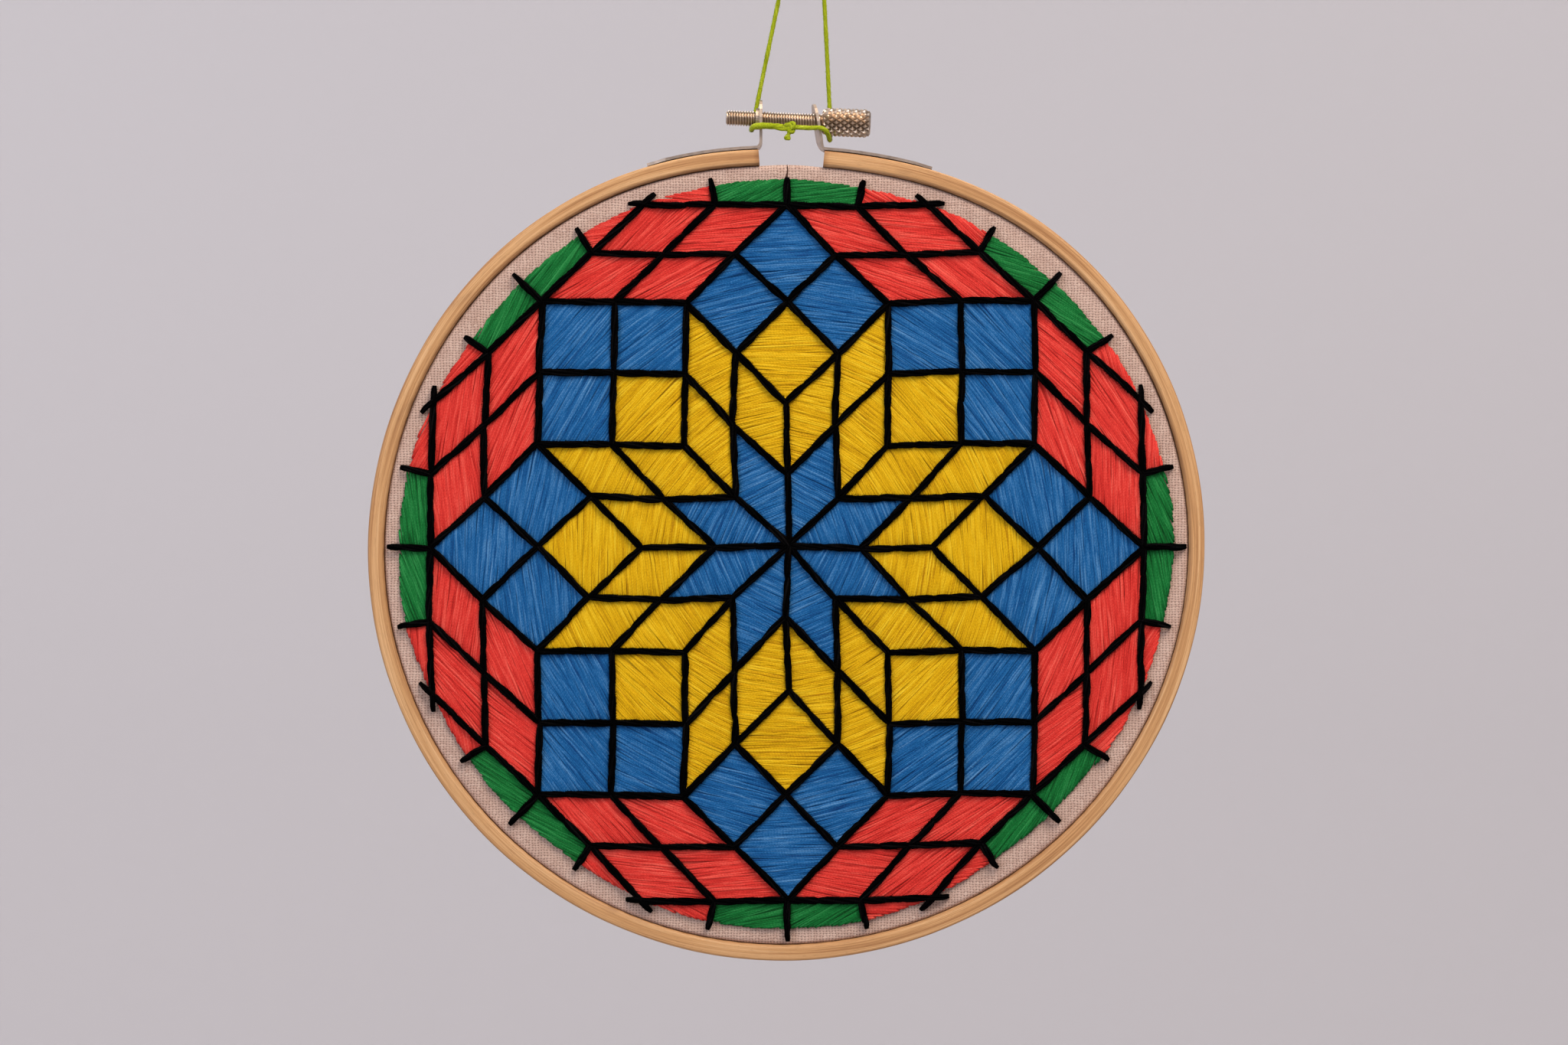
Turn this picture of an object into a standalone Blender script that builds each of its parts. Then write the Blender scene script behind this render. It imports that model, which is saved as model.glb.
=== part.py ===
"""Hoop embroidery: a wooden hoop holding a linen panel that is filled with satin stitch.

The panel hangs in the XZ plane and faces -Y. The origin is the top of the hanging loop, where a nail
holds it. Every size is in millimetres, and each piece is drawn in hoop coordinates: x to the right,
depth towards the wall and z up, all from the middle of the hoop. place() moves it to its hanging place.
"""

import math

import bmesh
import bpy
from mathutils import Vector

MM = 0.001
SEAT_GAP = 0.3

# The hoop's outline: a ring, slightly oval, and flatter where its two ends meet the screw.
RING_RADIUS = 105.9
OVAL_SWELL = 0.8
OVAL_ANGLE = 16.0
FLAT_DROP = 3.8
FLAT_ANGLE = 86.0
FLAT_SPREAD = 28.0
RING_STEPS = 72

# The outer hoop is open at the top. Angles are measured from +X, in degrees.
RING_THICKNESS = 4.0
RING_DEPTH = 9.5
RING_FRONT_ROUND = 1.2
RING_BACK_ROUND = 0.5
RING_LEFT_END = 94.0
RING_RIGHT_END = 84.5

# The linen passes over the inner hoop and turns back between the two hoops.
CLOTH_THICKNESS = 1.0
CLOTH_BELOW_RING = 1.0
CLOTH_EDGE_ROUND = 0.8
CLOTH_SHORT_OF_BACK = 0.7
INNER_THICKNESS = 3.8
INNER_ROUND = 0.5

RING_FRONT = -RING_DEPTH / 2
RING_BACK = RING_DEPTH / 2
CLOTH_FRONT = RING_FRONT + CLOTH_BELOW_RING
CLOTH_BACK = CLOTH_FRONT + CLOTH_THICKNESS
CLOTH_INSET = RING_THICKNESS + SEAT_GAP
INNER_INSET = CLOTH_INSET + CLOTH_THICKNESS + SEAT_GAP

# The stitched star: eight arms of four diamonds, with squares and flat diamonds between them.
ARM_COUNT = 8
ARM_STEP = 360.0 / ARM_COUNT
STAR_EDGE = 18.4
LINEN_BAND = 4.8
LINEN_BAND_SWING = 1.0
PAD_THICKNESS = 0.6
PAD_CROWN = 0.2
PAD_CROWN_INSET = 0.9
PAD_CROWN_LEAST_AREA = 150.0
OUTLINE_HALF_WIDTH = 0.75
OUTLINE_SHOULDER = 0.55
OUTLINE_CREST = 0.9
SIDE_OVERSHOOT = 0.22
NOTCH_OVERSHOOT = 3.0
QUARTER_OVERSHOOT = 2.0
HALF_ARM = ARM_STEP / 2
FLAT_SPLAY = 67.5

# How far the drawn lines stray from the even star: a slow sway and a quicker one.
SLOW_STRAY = 0.55
QUICK_STRAY = 0.35
RIM_STEADIES = 0.6

PAD_BACK = CLOTH_FRONT - SEAT_GAP
PAD_FRONT = PAD_BACK - PAD_THICKNESS
OUTLINE_BACK = PAD_FRONT - PAD_CROWN - SEAT_GAP

# The screw runs from left to right, a little downhill.
SCREW_DEPTH = -0.7
SCREW_LEFT_X = -15.4
SCREW_LEFT_Z = 109.9
SCREW_FALL = 2.4
SHANK_RADIUS = 2.0
SHANK_CHAMFER = 0.4
HEAD_START_X = 9.15
HEAD_END_X = 21.5
HEAD_RADIUS = 3.6
HEAD_CHAMFER = 0.6
KNURL_DEPTH = 0.35
KNURL_ROWS = 11
SCREW_SIDES = 28
HOLE_RADIUS = 2.25
COLLAR_RADIUS = 2.75
COLLAR_LENGTH = 1.0

# Each bracket is one bent strip: a leg along the hoop and an ear that holds the screw.
STRIP_THICKNESS = 0.7
STRIP_HALF_WIDTH = 3.5
LEFT_LEG_END = 110.0
RIGHT_LEG_END = 69.0
LEG_STEPS = 6
LEG_TIP_NARROWING = 0.6
BEND_START = 0.82
BEND_STEPS = 4
LEFT_EAR_TOP = (-6.5, 114.4)
LEFT_EAR_FOOT = (-6.5, 104.0)
RIGHT_EAR_TOP = (6.95, 113.4)
RIGHT_EAR_FOOT = (8.5, 104.0)
RIGHT_EAR_TWIST = 8.0
EAR_ABOVE_HOLE = 4.7
EAR_ROUND_RISES = (0.0, 0.45, 0.72, 0.9, 0.985)
HOLE_CUT_REACH = 4.0

# The cord's route in hoop coordinates: from the knot, round the screw's head, up to the nail,
# down behind the collar and back along the front to the knot.
CORD_RADIUS = 0.64
CORD_STEP = 3.6
LOOP_MIDDLE = (5.85, 3.4, 165.6)
LOOP_RADIUS = 2.6
CORD_RIGHT = [
    (2.84, -5.30, 106.95), (5.80, -5.22, 106.80), (8.45, -5.20, 106.75), (9.85, -4.95, 106.05),
    (10.70, -3.30, 104.75), (11.05, -0.80, 104.15), (11.20, 1.90, 104.80), (11.25, 3.60, 106.70),
    (11.20, 4.02, 109.00), (11.10, 3.98, 113.00), (10.45, 3.75, 126.50), (9.80, 3.60, 139.50),
    (9.15, 3.45, 153.00),
]
CORD_LEFT = [
    (0.90, 3.40, 154.50), (-2.20, 3.35, 139.50), (-4.95, 3.20, 126.20), (-7.55, 3.05, 113.60),
    (-8.35, 3.05, 110.40), (-8.74, 2.60, 107.95), (-8.88, 0.90, 106.75), (-8.88, -1.40, 106.60),
    (-8.74, -3.70, 106.85), (-8.00, -4.95, 107.20), (-6.30, -5.30, 107.35), (-3.60, -5.30, 107.25),
    (-0.90, -5.30, 107.00),
]
LOOP_ANGLES = (3.0, 45.0, 90.0, 135.0, 168.0)

# The knot that joins the cord's two ends, with its short tail.
KNOT_MIDDLE = (0.95, -5.30, 106.95)
KNOT_HALF_SIZE = (1.55, 1.10, 1.40)
KNOT_WRAP_RADIUS = 1.05
KNOT_WRAP_THICKNESS = 0.62
KNOT_WRAP_TILT = 38.0
KNOT_WRAP_STEPS = 16
KNOT_WRAP_SIDES = 8
TAIL_END = (0.28, -5.40, 104.40)
TAIL_RADIUS = 0.55
TAIL_BALL_RADIUS = 0.95

# Where the nail holds the loop, in hoop coordinates. It is the part's origin.
HANG_POINT = (LOOP_MIDDLE[0], LOOP_MIDDLE[1], LOOP_MIDDLE[2] + LOOP_RADIUS - CORD_RADIUS)

COLOURS = {
    "beech": ((0.62, 0.39, 0.21), 0.55, 0.0),
    "linen": ((0.60, 0.46, 0.40), 0.95, 0.0),
    "steel": ((0.56, 0.53, 0.50), 0.32, 1.0),
    "blue": ((0.035, 0.155, 0.45), 0.60, 0.0),
    "yellow": ((0.74, 0.46, 0.01), 0.60, 0.0),
    "red": ((0.76, 0.045, 0.035), 0.60, 0.0),
    "green": ((0.008, 0.20, 0.032), 0.60, 0.0),
    "black": ((0.006, 0.006, 0.008), 0.85, 0.0),
    "lime": ((0.32, 0.50, 0.02), 0.80, 0.0),
}


def clear_scene():
    for old in list(bpy.data.objects):
        bpy.data.objects.remove(old, do_unlink=True)


def material(name, colour):
    base_colour, roughness, metallic = COLOURS[colour]
    made = bpy.data.materials.new(name)
    made.use_nodes = True
    shader = made.node_tree.nodes["Principled BSDF"]
    shader.inputs["Base Color"].default_value = (*base_colour, 1.0)
    shader.inputs["Roughness"].default_value = roughness
    shader.inputs["Metallic"].default_value = metallic
    return made


def place(made):
    """Move an object drawn in hoop coordinates so that the hanging point is the origin."""
    made.location = made.location - Vector(HANG_POINT) * MM
    return made


def add_object(name, data, colour):
    made = bpy.data.objects.new(name, data)
    bpy.context.scene.collection.objects.link(made)
    data.materials.append(material(name + "_finish", colour))
    return made


def add_mesh(name, points, faces, colour, smooth_angle=40.0):
    """A closed mesh from points in millimetres, with its faces turned outwards."""
    data = bpy.data.meshes.new(name)
    data.from_pydata([Vector(point) * MM for point in points], [], faces)
    shell = bmesh.new()
    shell.from_mesh(data)
    bmesh.ops.recalc_face_normals(shell, faces=shell.faces)
    shell.to_mesh(data)
    shell.free()
    data.shade_smooth()
    data.set_sharp_from_angle(angle=math.radians(smooth_angle))
    return add_object(name, data, colour)


def sweep_faces(loop_count, loop_size, closed):
    """Quads between neighbouring loops of points, with flat ends unless the sweep closes on itself."""
    faces = []
    for loop in range(loop_count if closed else loop_count - 1):
        following = (loop + 1) % loop_count
        for corner in range(loop_size):
            beside = (corner + 1) % loop_size
            faces.append((loop * loop_size + corner, loop * loop_size + beside,
                          following * loop_size + beside, following * loop_size + corner))
    if not closed:
        faces.append(tuple(range(loop_size)))
        faces.append(tuple((loop_count - 1) * loop_size + corner for corner in range(loop_size)))
    return faces


def unit(angle):
    return Vector((math.cos(math.radians(angle)), math.sin(math.radians(angle))))


def ring_radius(angle):
    """Radius of the outer hoop's outer edge."""
    from_flat = (angle - FLAT_ANGLE + 180.0) % 360.0 - 180.0
    swell = OVAL_SWELL * math.cos(math.radians(2.0 * (angle - OVAL_ANGLE)))
    return RING_RADIUS + swell - FLAT_DROP * math.exp(-(from_flat / FLAT_SPREAD) ** 2)


def ring_point(angle, inset, depth):
    spot = unit(angle) * (ring_radius(angle) - inset)
    return (spot.x, depth, spot.y)


def spread(first, last, steps):
    return [first + (last - first) * step / steps for step in range(steps + 1)]


def rounded_section(outer, inner, front, back, front_round, back_round):
    """Corners of a hoop's section as (inset, depth) pairs, with rounded edges."""
    corners = [
        (outer + front_round, front + front_round, front_round, (180.0, 225.0, 270.0)),
        (inner - front_round, front + front_round, front_round, (270.0, 315.0, 360.0)),
        (inner - back_round, back - back_round, back_round, (0.0, 90.0)),
        (outer + back_round, back - back_round, back_round, (90.0, 180.0)),
    ]
    return [
        (inset + radius * unit(turn).x, depth + radius * unit(turn).y)
        for inset, depth, radius, turns in corners
        for turn in turns
    ]


def build_outer_hoop():
    section = rounded_section(0.0, RING_THICKNESS, RING_FRONT, RING_BACK, RING_FRONT_ROUND, RING_BACK_ROUND)
    angles = spread(RING_LEFT_END, RING_RIGHT_END + 360.0, RING_STEPS)
    points = [ring_point(angle, inset, depth) for angle in angles for inset, depth in section]
    faces = sweep_faces(len(angles), len(section), closed=False)
    place(add_mesh("outer_hoop", points, faces, "beech"))


def build_inner_hoop():
    front = CLOTH_BACK + SEAT_GAP
    section = rounded_section(INNER_INSET, INNER_INSET + INNER_THICKNESS, front, RING_BACK,
                              INNER_ROUND, INNER_ROUND)
    angles = spread(0.0, 360.0, RING_STEPS)[:-1]
    points = [ring_point(angle, inset, depth) for angle in angles for inset, depth in section]
    faces = sweep_faces(len(angles), len(section), closed=True)
    place(add_mesh("inner_hoop", points, faces, "beech"))


def build_cloth():
    """The linen: a flat panel whose rim turns back between the hoops and is trimmed there."""
    skirt_end = RING_BACK - CLOTH_SHORT_OF_BACK
    diagonal = CLOTH_EDGE_ROUND * (1.0 - math.sqrt(0.5))
    profile = [
        (CLOTH_INSET + CLOTH_EDGE_ROUND, CLOTH_FRONT),
        (CLOTH_INSET + diagonal, CLOTH_FRONT + diagonal),
        (CLOTH_INSET, CLOTH_FRONT + CLOTH_EDGE_ROUND),
        (CLOTH_INSET, skirt_end),
        (CLOTH_INSET + CLOTH_THICKNESS, skirt_end),
        (CLOTH_INSET + CLOTH_THICKNESS, CLOTH_BACK),
    ]
    angles = spread(0.0, 360.0, RING_STEPS)[:-1]
    points = [ring_point(angle, inset, depth) for inset, depth in profile for angle in angles]
    faces = []
    for ring in range(len(profile) - 1):
        for step in range(RING_STEPS):
            beside = (step + 1) % RING_STEPS
            faces.append((ring * RING_STEPS + step, ring * RING_STEPS + beside,
                          (ring + 1) * RING_STEPS + beside, (ring + 1) * RING_STEPS + step))
    front_middle = len(points)
    back_middle = front_middle + 1
    points.append((0.0, CLOTH_FRONT, 0.0))
    points.append((0.0, CLOTH_BACK, 0.0))
    last_ring = (len(profile) - 1) * RING_STEPS
    for step in range(RING_STEPS):
        beside = (step + 1) % RING_STEPS
        faces.append((front_middle, step, beside))
        faces.append((back_middle, last_ring + beside, last_ring + step))
    place(add_mesh("cloth", points, faces, "linen"))


def fill_radius(angle):
    """Radius of the stitched area's edge, which leaves a band of bare linen inside the hoop."""
    band = LINEN_BAND - LINEN_BAND_SWING * math.cos(math.radians(4.0 * angle))
    return ring_radius(angle) - RING_THICKNESS - band


def star_reach():
    """Distance from the star's middle to the outer corner of a flat diamond."""
    return STAR_EDGE * 4.0 * (unit(HALF_ARM).x + unit(FLAT_SPLAY).x)


def quarter_turn():
    """Angle from an arm's axis to the point halfway along a flat diamond's outer side."""
    quarter = Vector((4.0 * unit(HALF_ARM).x + 3.0 * unit(FLAT_SPLAY).x, unit(FLAT_SPLAY).y))
    return math.degrees(math.atan2(quarter.y, quarter.x))


def drawn(spot):
    """Fit a point of the even star to the oval hoop, and let it wander a little as drawn by hand."""
    angle = math.degrees(math.atan2(spot.y, spot.x))
    outward = min(spot.length / star_reach(), 1.0)
    fitted = spot * (1.0 + outward ** 2 * (fill_radius(angle) / star_reach() - 1.0))
    sideways = SLOW_STRAY * math.sin(0.13 * fitted.y + 0.7) + QUICK_STRAY * math.sin(0.29 * fitted.x + 2.1)
    upwards = SLOW_STRAY * math.sin(0.12 * fitted.x + 1.9) + QUICK_STRAY * math.sin(0.31 * fitted.y + 0.4)
    return fitted + Vector((sideways, upwards)) * (1.0 - RIM_STEADIES * outward)


def lattice_cell(corner, side_a, side_b, column, row):
    start = corner + side_a * column + side_b * row
    return [start, start + side_a, start + side_a + side_b, start + side_b]


def rim_spot(angle, past=0.0):
    return unit(angle) * (star_reach() + past)


def star_cells():
    """Cells of the star as (patch, corners), each counter-clockwise, before drawn() settles them."""
    cells = []
    quarters = [(0, 0), (0, 1), (1, 0), (1, 1)]
    for arm in range(ARM_COUNT):
        axis = ARM_STEP * arm + HALF_ARM
        notch = axis + HALF_ARM
        arm_sides = (unit(axis - HALF_ARM) * STAR_EDGE, unit(axis + HALF_ARM) * STAR_EDGE)
        square_sides = (unit(notch - ARM_STEP) * STAR_EDGE, unit(notch + ARM_STEP) * STAR_EDGE)
        flat_sides = (unit(axis - FLAT_SPLAY) * STAR_EDGE, unit(axis + FLAT_SPLAY) * STAR_EDGE)
        middle = Vector((0.0, 0.0))
        arm_tip = (arm_sides[0] + arm_sides[1]) * 2
        notch_corner = unit(notch) * STAR_EDGE * 2
        for column, row in quarters:
            innermost = column == 0 and row == 0
            patch = "blue_star" if innermost else "yellow_ring"
            cells.append((patch, lattice_cell(middle, *arm_sides, column, row)))
            patch = "yellow_ring" if innermost else f"blue_corner_{arm + 1}"
            cells.append((patch, lattice_cell(notch_corner, *square_sides, column, row)))
            cells.append((f"red_diamond_{arm + 1}", lattice_cell(arm_tip, *flat_sides, column, row)))
        cells.extend(rim_cells(arm, axis, arm_tip, flat_sides))
    return cells


def rim_cells(arm, axis, arm_tip, flat_sides):
    """The four cells between one flat diamond's outer sides and the round edge of the stitching."""
    corner = arm_tip + (flat_sides[0] + flat_sides[1]) * 2
    cells = []
    for side, patch_number in ((1, arm), (-1, (arm - 1) % ARM_COUNT)):
        away, along = (flat_sides[1], flat_sides[0]) if side == 1 else (flat_sides[0], flat_sides[1])
        notch_spot = arm_tip + away * 2
        quarter = notch_spot + along
        turn = quarter_turn() * side
        half = HALF_ARM * side
        outer = [corner, rim_spot(axis + turn / 2), rim_spot(axis + turn), quarter]
        inner = [quarter, rim_spot(axis + turn), rim_spot(axis + (turn + half) / 2),
                 rim_spot(axis + half), notch_spot]
        if side == -1:
            outer.reverse()
            inner.reverse()
        cells.append((f"red_diamond_{arm + 1}", outer))
        cells.append((f"green_rim_{patch_number + 1}", inner))
    return cells


def spot_key(spot):
    return (round(spot.x, 3), round(spot.y, 3))


def patch_outline(polygons):
    """The edges that only one polygon of the patch uses, as a map from each corner to the next."""
    edges = set()
    for polygon in polygons:
        edges.update(zip(polygon, polygon[1:] + polygon[:1]))
    return {start: end for start, end in edges if (end, start) not in edges}


def inset_corner(before, corner, after, inset):
    """Move a corner of a counter-clockwise outline inwards by the same distance from both its sides."""
    arriving = (corner - before).normalized()
    leaving = (after - corner).normalized()
    inward = Vector((-arriving.y - leaving.y, arriving.x + leaving.x)).normalized()
    reach = inward.dot(Vector((-arriving.y, arriving.x)))
    return corner + inward * inset / reach


def build_patch(name, polygons, spots):
    """One colour's area of satin stitch: a thin pad on the linen, with each cell slightly crowned."""
    following = patch_outline(polygons)
    previous = {end: start for start, end in following.items()}
    shell = bmesh.new()
    corners = {}
    for key in dict.fromkeys(corner for polygon in polygons for corner in polygon):
        spot = spots[key]
        if key in following:
            spot = inset_corner(spots[previous[key]], spot, spots[following[key]], SEAT_GAP / 2)
        corners[key] = shell.verts.new(Vector((spot.x, PAD_BACK, spot.y)) * MM)
    bottom = [shell.faces.new([corners[key] for key in polygon]) for polygon in polygons]
    raised = bmesh.ops.extrude_face_region(shell, geom=bottom, use_keep_orig=True)["geom"]
    tops = [item for item in raised if isinstance(item, bmesh.types.BMFace)]
    raised_corners = [item for item in raised if isinstance(item, bmesh.types.BMVert)]
    bmesh.ops.translate(shell, verts=raised_corners, vec=(0.0, (PAD_FRONT - PAD_BACK) * MM, 0.0))
    bmesh.ops.recalc_face_normals(shell, faces=shell.faces)
    least_area = PAD_CROWN_LEAST_AREA * MM * MM
    crowned = [face for face in tops if len(face.verts) == 4 and face.calc_area() > least_area]
    bmesh.ops.inset_individual(shell, faces=crowned, thickness=PAD_CROWN_INSET * MM,
                               depth=PAD_CROWN * MM, use_even_offset=True)
    data = bpy.data.meshes.new(name)
    shell.to_mesh(data)
    shell.free()
    place(add_object(name, data, name.split("_")[0]))


def build_patches(cells, spots):
    patches = {}
    for patch, corners in cells:
        patches.setdefault(patch, []).append([spot_key(corner) for corner in corners])
    for name, polygons in patches.items():
        build_patch(name, polygons, spots)


def outline_lines(cells):
    """The black lines as pairs of points: every cell side but those on the rim, and the overshoots."""
    lines = {}
    reach = star_reach()
    for _, corners in cells:
        for start, end in zip(corners, corners[1:] + corners[:1]):
            if start.length > reach - 0.01 and end.length > reach - 0.01:
                continue
            pair = frozenset((spot_key(start), spot_key(end)))
            lines[pair] = (start, end)
    return list(lines.values()) + overshoots()


def overshoots():
    """Ends of lines that run on past the stitched area into the bare linen."""
    ends = []
    for arm in range(ARM_COUNT):
        axis = ARM_STEP * arm + HALF_ARM
        corner = rim_spot(axis)
        for splay in (-FLAT_SPLAY, FLAT_SPLAY):
            ends.append((corner, corner + unit(axis + splay) * STAR_EDGE * SIDE_OVERSHOOT))
        for turn in (-quarter_turn(), quarter_turn()):
            ends.append((rim_spot(axis + turn), rim_spot(axis + turn, QUARTER_OVERSHOOT)))
        ends.append((rim_spot(axis + HALF_ARM), rim_spot(axis + HALF_ARM, NOTCH_OVERSHOOT)))
    return ends


def build_outlines(cells):
    """The black stitched lines as one raised net: each line has a crest and two sloping shoulders."""
    spots = {}
    neighbours = {}
    for start, end in outline_lines(cells):
        for spot in (start, end):
            spots[spot_key(spot)] = drawn(spot)
        neighbours.setdefault(spot_key(start), set()).add(spot_key(end))
        neighbours.setdefault(spot_key(end), set()).add(spot_key(start))
    points = []

    def add_point(spot, depth):
        points.append((spot.x, depth, spot.y))
        return len(points) - 1

    crest = {}
    shoulder = {}
    base = {}
    for key in sorted(neighbours):
        spot = spots[key]
        bearings = sorted(
            (math.atan2(spots[other].y - spot.y, spots[other].x - spot.x), other) for other in neighbours[key]
        )
        if len(bearings) == 1:
            other = bearings[0][1]
            tip = add_point(spot, OUTLINE_BACK - OUTLINE_SHOULDER)
            crest[key] = tip
            shoulder[key, other, "left"] = shoulder[key, other, "right"] = tip
            base[tip] = add_point(spot, OUTLINE_BACK)
            continue
        crest[key] = add_point(spot, OUTLINE_BACK - OUTLINE_CREST)
        for index, (bearing, other) in enumerate(bearings):
            next_bearing, next_other = bearings[(index + 1) % len(bearings)]
            opening = (next_bearing - bearing) % math.tau
            reach = OUTLINE_HALF_WIDTH / math.sin(opening / 2)
            between = bearing + opening / 2
            corner = spot + Vector((math.cos(between), math.sin(between))) * reach
            top = add_point(corner, OUTLINE_BACK - OUTLINE_SHOULDER)
            base[top] = add_point(corner, OUTLINE_BACK)
            shoulder[key, other, "left"] = top
            shoulder[key, next_other, "right"] = top
    faces = outline_faces(neighbours, crest, shoulder, base)
    place(add_mesh("outline_stitching", points, faces, "black", smooth_angle=20.0))


def outline_faces(neighbours, crest, shoulder, base):
    faces = []

    def add_face(*corners):
        kept = list(dict.fromkeys(corners))
        if len(kept) > 2:
            faces.append(kept)

    for start in sorted(neighbours):
        for end in sorted(neighbours[start]):
            if end < start:
                continue
            sides = [
                (shoulder[start, end, "left"], shoulder[end, start, "right"]),
                (shoulder[start, end, "right"], shoulder[end, start, "left"]),
            ]
            for near, far in sides:
                add_face(crest[start], crest[end], far, near)
                add_face(near, far, base[far], base[near])
            add_face(base[sides[0][0]], base[sides[0][1]], base[sides[1][1]], base[sides[1][0]])
        if len(neighbours[start]) > 2:
            in_turn = sorted(shoulder[start, end, "left"] for end in neighbours[start])
            add_face(*[base[top] for top in in_turn])
    return faces


def screw_z(x):
    return SCREW_LEFT_Z - (x - SCREW_LEFT_X) * math.tan(math.radians(SCREW_FALL))


def build_thumbscrew():
    """Shank and knurled head in one, drawn along its own axis from the shank's tip."""
    length = (HEAD_END_X - SCREW_LEFT_X) / math.cos(math.radians(SCREW_FALL))
    head_start = (HEAD_START_X - SCREW_LEFT_X) / math.cos(math.radians(SCREW_FALL))
    profile = [(0.0, SHANK_RADIUS - SHANK_CHAMFER), (SHANK_CHAMFER, SHANK_RADIUS)]
    profile += [(head_start, SHANK_RADIUS), (head_start, HEAD_RADIUS - HEAD_CHAMFER)]
    knurl_start = head_start + HEAD_CHAMFER
    knurl_end = length - HEAD_CHAMFER
    profile += [(station, HEAD_RADIUS) for station in spread(knurl_start, knurl_end, KNURL_ROWS - 1)]
    profile += [(length, HEAD_RADIUS - HEAD_CHAMFER)]
    points = []
    for row, (station, radius) in enumerate(profile):
        for side in range(SCREW_SIDES):
            low = radius == HEAD_RADIUS and (row + side) % 2 == 1
            spot = unit(360.0 * side / SCREW_SIDES) * (radius - (KNURL_DEPTH if low else 0.0))
            points.append((station, spot.x, spot.y))
    faces = sweep_faces(len(profile), SCREW_SIDES, closed=False)
    made = add_mesh("thumbscrew", points, faces, "steel", smooth_angle=25.0)
    split_knurl(made.data)
    made.rotation_euler = (0.0, math.radians(SCREW_FALL), 0.0)
    made.location = Vector((SCREW_LEFT_X, SCREW_DEPTH, SCREW_LEFT_Z)) * MM
    place(made)


def split_knurl(data):
    """Split the head's uneven squares along their valleys, which leaves a point on each diamond."""
    shell = bmesh.new()
    shell.from_mesh(data)
    squares = [face for face in shell.faces if len(face.verts) == 4]
    bmesh.ops.triangulate(shell, faces=squares, quad_method="SHORT_EDGE")
    shell.to_mesh(data)
    shell.free()


def strip_path(ear_top, ear_foot, leg_end, ring_end):
    """Middle line of a bracket, from the tip of its leg to the top of its ear.

    Each item is a point in the (x, z) plane and the strip's half width there. The width follows a
    half circle above the hole.
    """
    lift = SEAT_GAP + STRIP_THICKNESS / 2
    leg = [unit(angle) * (ring_radius(angle) + lift) for angle in spread(leg_end, ring_end, LEG_STEPS)[:-1]]
    foot = Vector(ear_foot)
    top = Vector(ear_top)
    upwards = (top - foot).normalized()
    near_bend = leg[-1].lerp(Vector((foot.x, leg[-1].y)), BEND_START)
    bend_angle = math.degrees(math.atan2(near_bend.y, near_bend.x))
    bend_start = unit(bend_angle) * (ring_radius(bend_angle) + lift)
    bend_corner = foot - upwards * (foot.y - bend_start.y - STRIP_THICKNESS / 2)
    bend = []
    for share in spread(0.0, 1.0, BEND_STEPS):
        bend.append(bend_start.lerp(bend_corner, share).lerp(bend_corner.lerp(foot, share), share))
    hole = top - upwards * EAR_ABOVE_HOLE
    path = [(leg[0], STRIP_HALF_WIDTH * LEG_TIP_NARROWING)]
    path += [(spot, STRIP_HALF_WIDTH) for spot in leg[1:] + bend]
    for rise in EAR_ROUND_RISES:
        path.append((hole + upwards * EAR_ABOVE_HOLE * rise, STRIP_HALF_WIDTH * math.sqrt(1.0 - rise ** 2)))
    return path


def add_guide(name, radius, start_x, end_x):
    """A round guide along the screw's axis, used to cut or to build on."""
    shell = bmesh.new()
    bmesh.ops.create_cone(shell, cap_ends=True, segments=SCREW_SIDES, radius1=radius * MM,
                          radius2=radius * MM, depth=(end_x - start_x) * MM)
    data = bpy.data.meshes.new(name)
    shell.to_mesh(data)
    shell.free()
    guide = bpy.data.objects.new(name, data)
    bpy.context.scene.collection.objects.link(guide)
    guide.rotation_euler = (0.0, math.radians(90.0 + SCREW_FALL), 0.0)
    middle_x = (start_x + end_x) / 2
    guide.location = Vector((middle_x, SCREW_DEPTH, screw_z(middle_x))) * MM
    guide.hide_render = True
    guide.display_type = "WIRE"
    return place(guide)


def combine(target, guide, operation):
    step = target.modifiers.new(guide.name, "BOOLEAN")
    step.operation = operation
    step.object = guide


def build_bracket(name, path, collar_start, twist=0.0):
    """One bent strip. The twist turns its ear about the upright, and fades out along the bend."""
    points = []
    for index, (spot, wide) in enumerate(path):
        slant = math.tan(math.radians(twist)) * min(max(index - LEG_STEPS, 0) / BEND_STEPS, 1.0)
        before = path[max(index - 1, 0)][0]
        after = path[min(index + 1, len(path) - 1)][0]
        along = (after - before).normalized()
        across = Vector((-along.y, along.x)) * STRIP_THICKNESS / 2
        for side, depth in ((1, -wide), (1, wide), (-1, wide), (-1, -wide)):
            corner = spot + across * side
            points.append((corner.x - depth * slant, SCREW_DEPTH + depth, corner.y))
    bracket = place(add_mesh(name, points, sweep_faces(len(path), 4, closed=False), "steel"))
    ear_x = path[-len(EAR_ROUND_RISES)][0].x
    if collar_start is not None:
        collar = add_guide(name + "_collar", COLLAR_RADIUS, collar_start, ear_x)
        combine(bracket, collar, "UNION")
    hole = add_guide(name + "_hole", HOLE_RADIUS, ear_x - HOLE_CUT_REACH, ear_x + HOLE_CUT_REACH)
    combine(bracket, hole, "DIFFERENCE")


def build_brackets():
    left = strip_path(LEFT_EAR_TOP, LEFT_EAR_FOOT, LEFT_LEG_END, RING_LEFT_END)
    right = strip_path(RIGHT_EAR_TOP, RIGHT_EAR_FOOT, RIGHT_LEG_END, RING_RIGHT_END)
    collar_start = LEFT_EAR_TOP[0] - STRIP_THICKNESS / 2 - COLLAR_LENGTH
    build_bracket("bracket_left", left, collar_start)
    build_bracket("bracket_right", right, None, RIGHT_EAR_TWIST)


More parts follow.
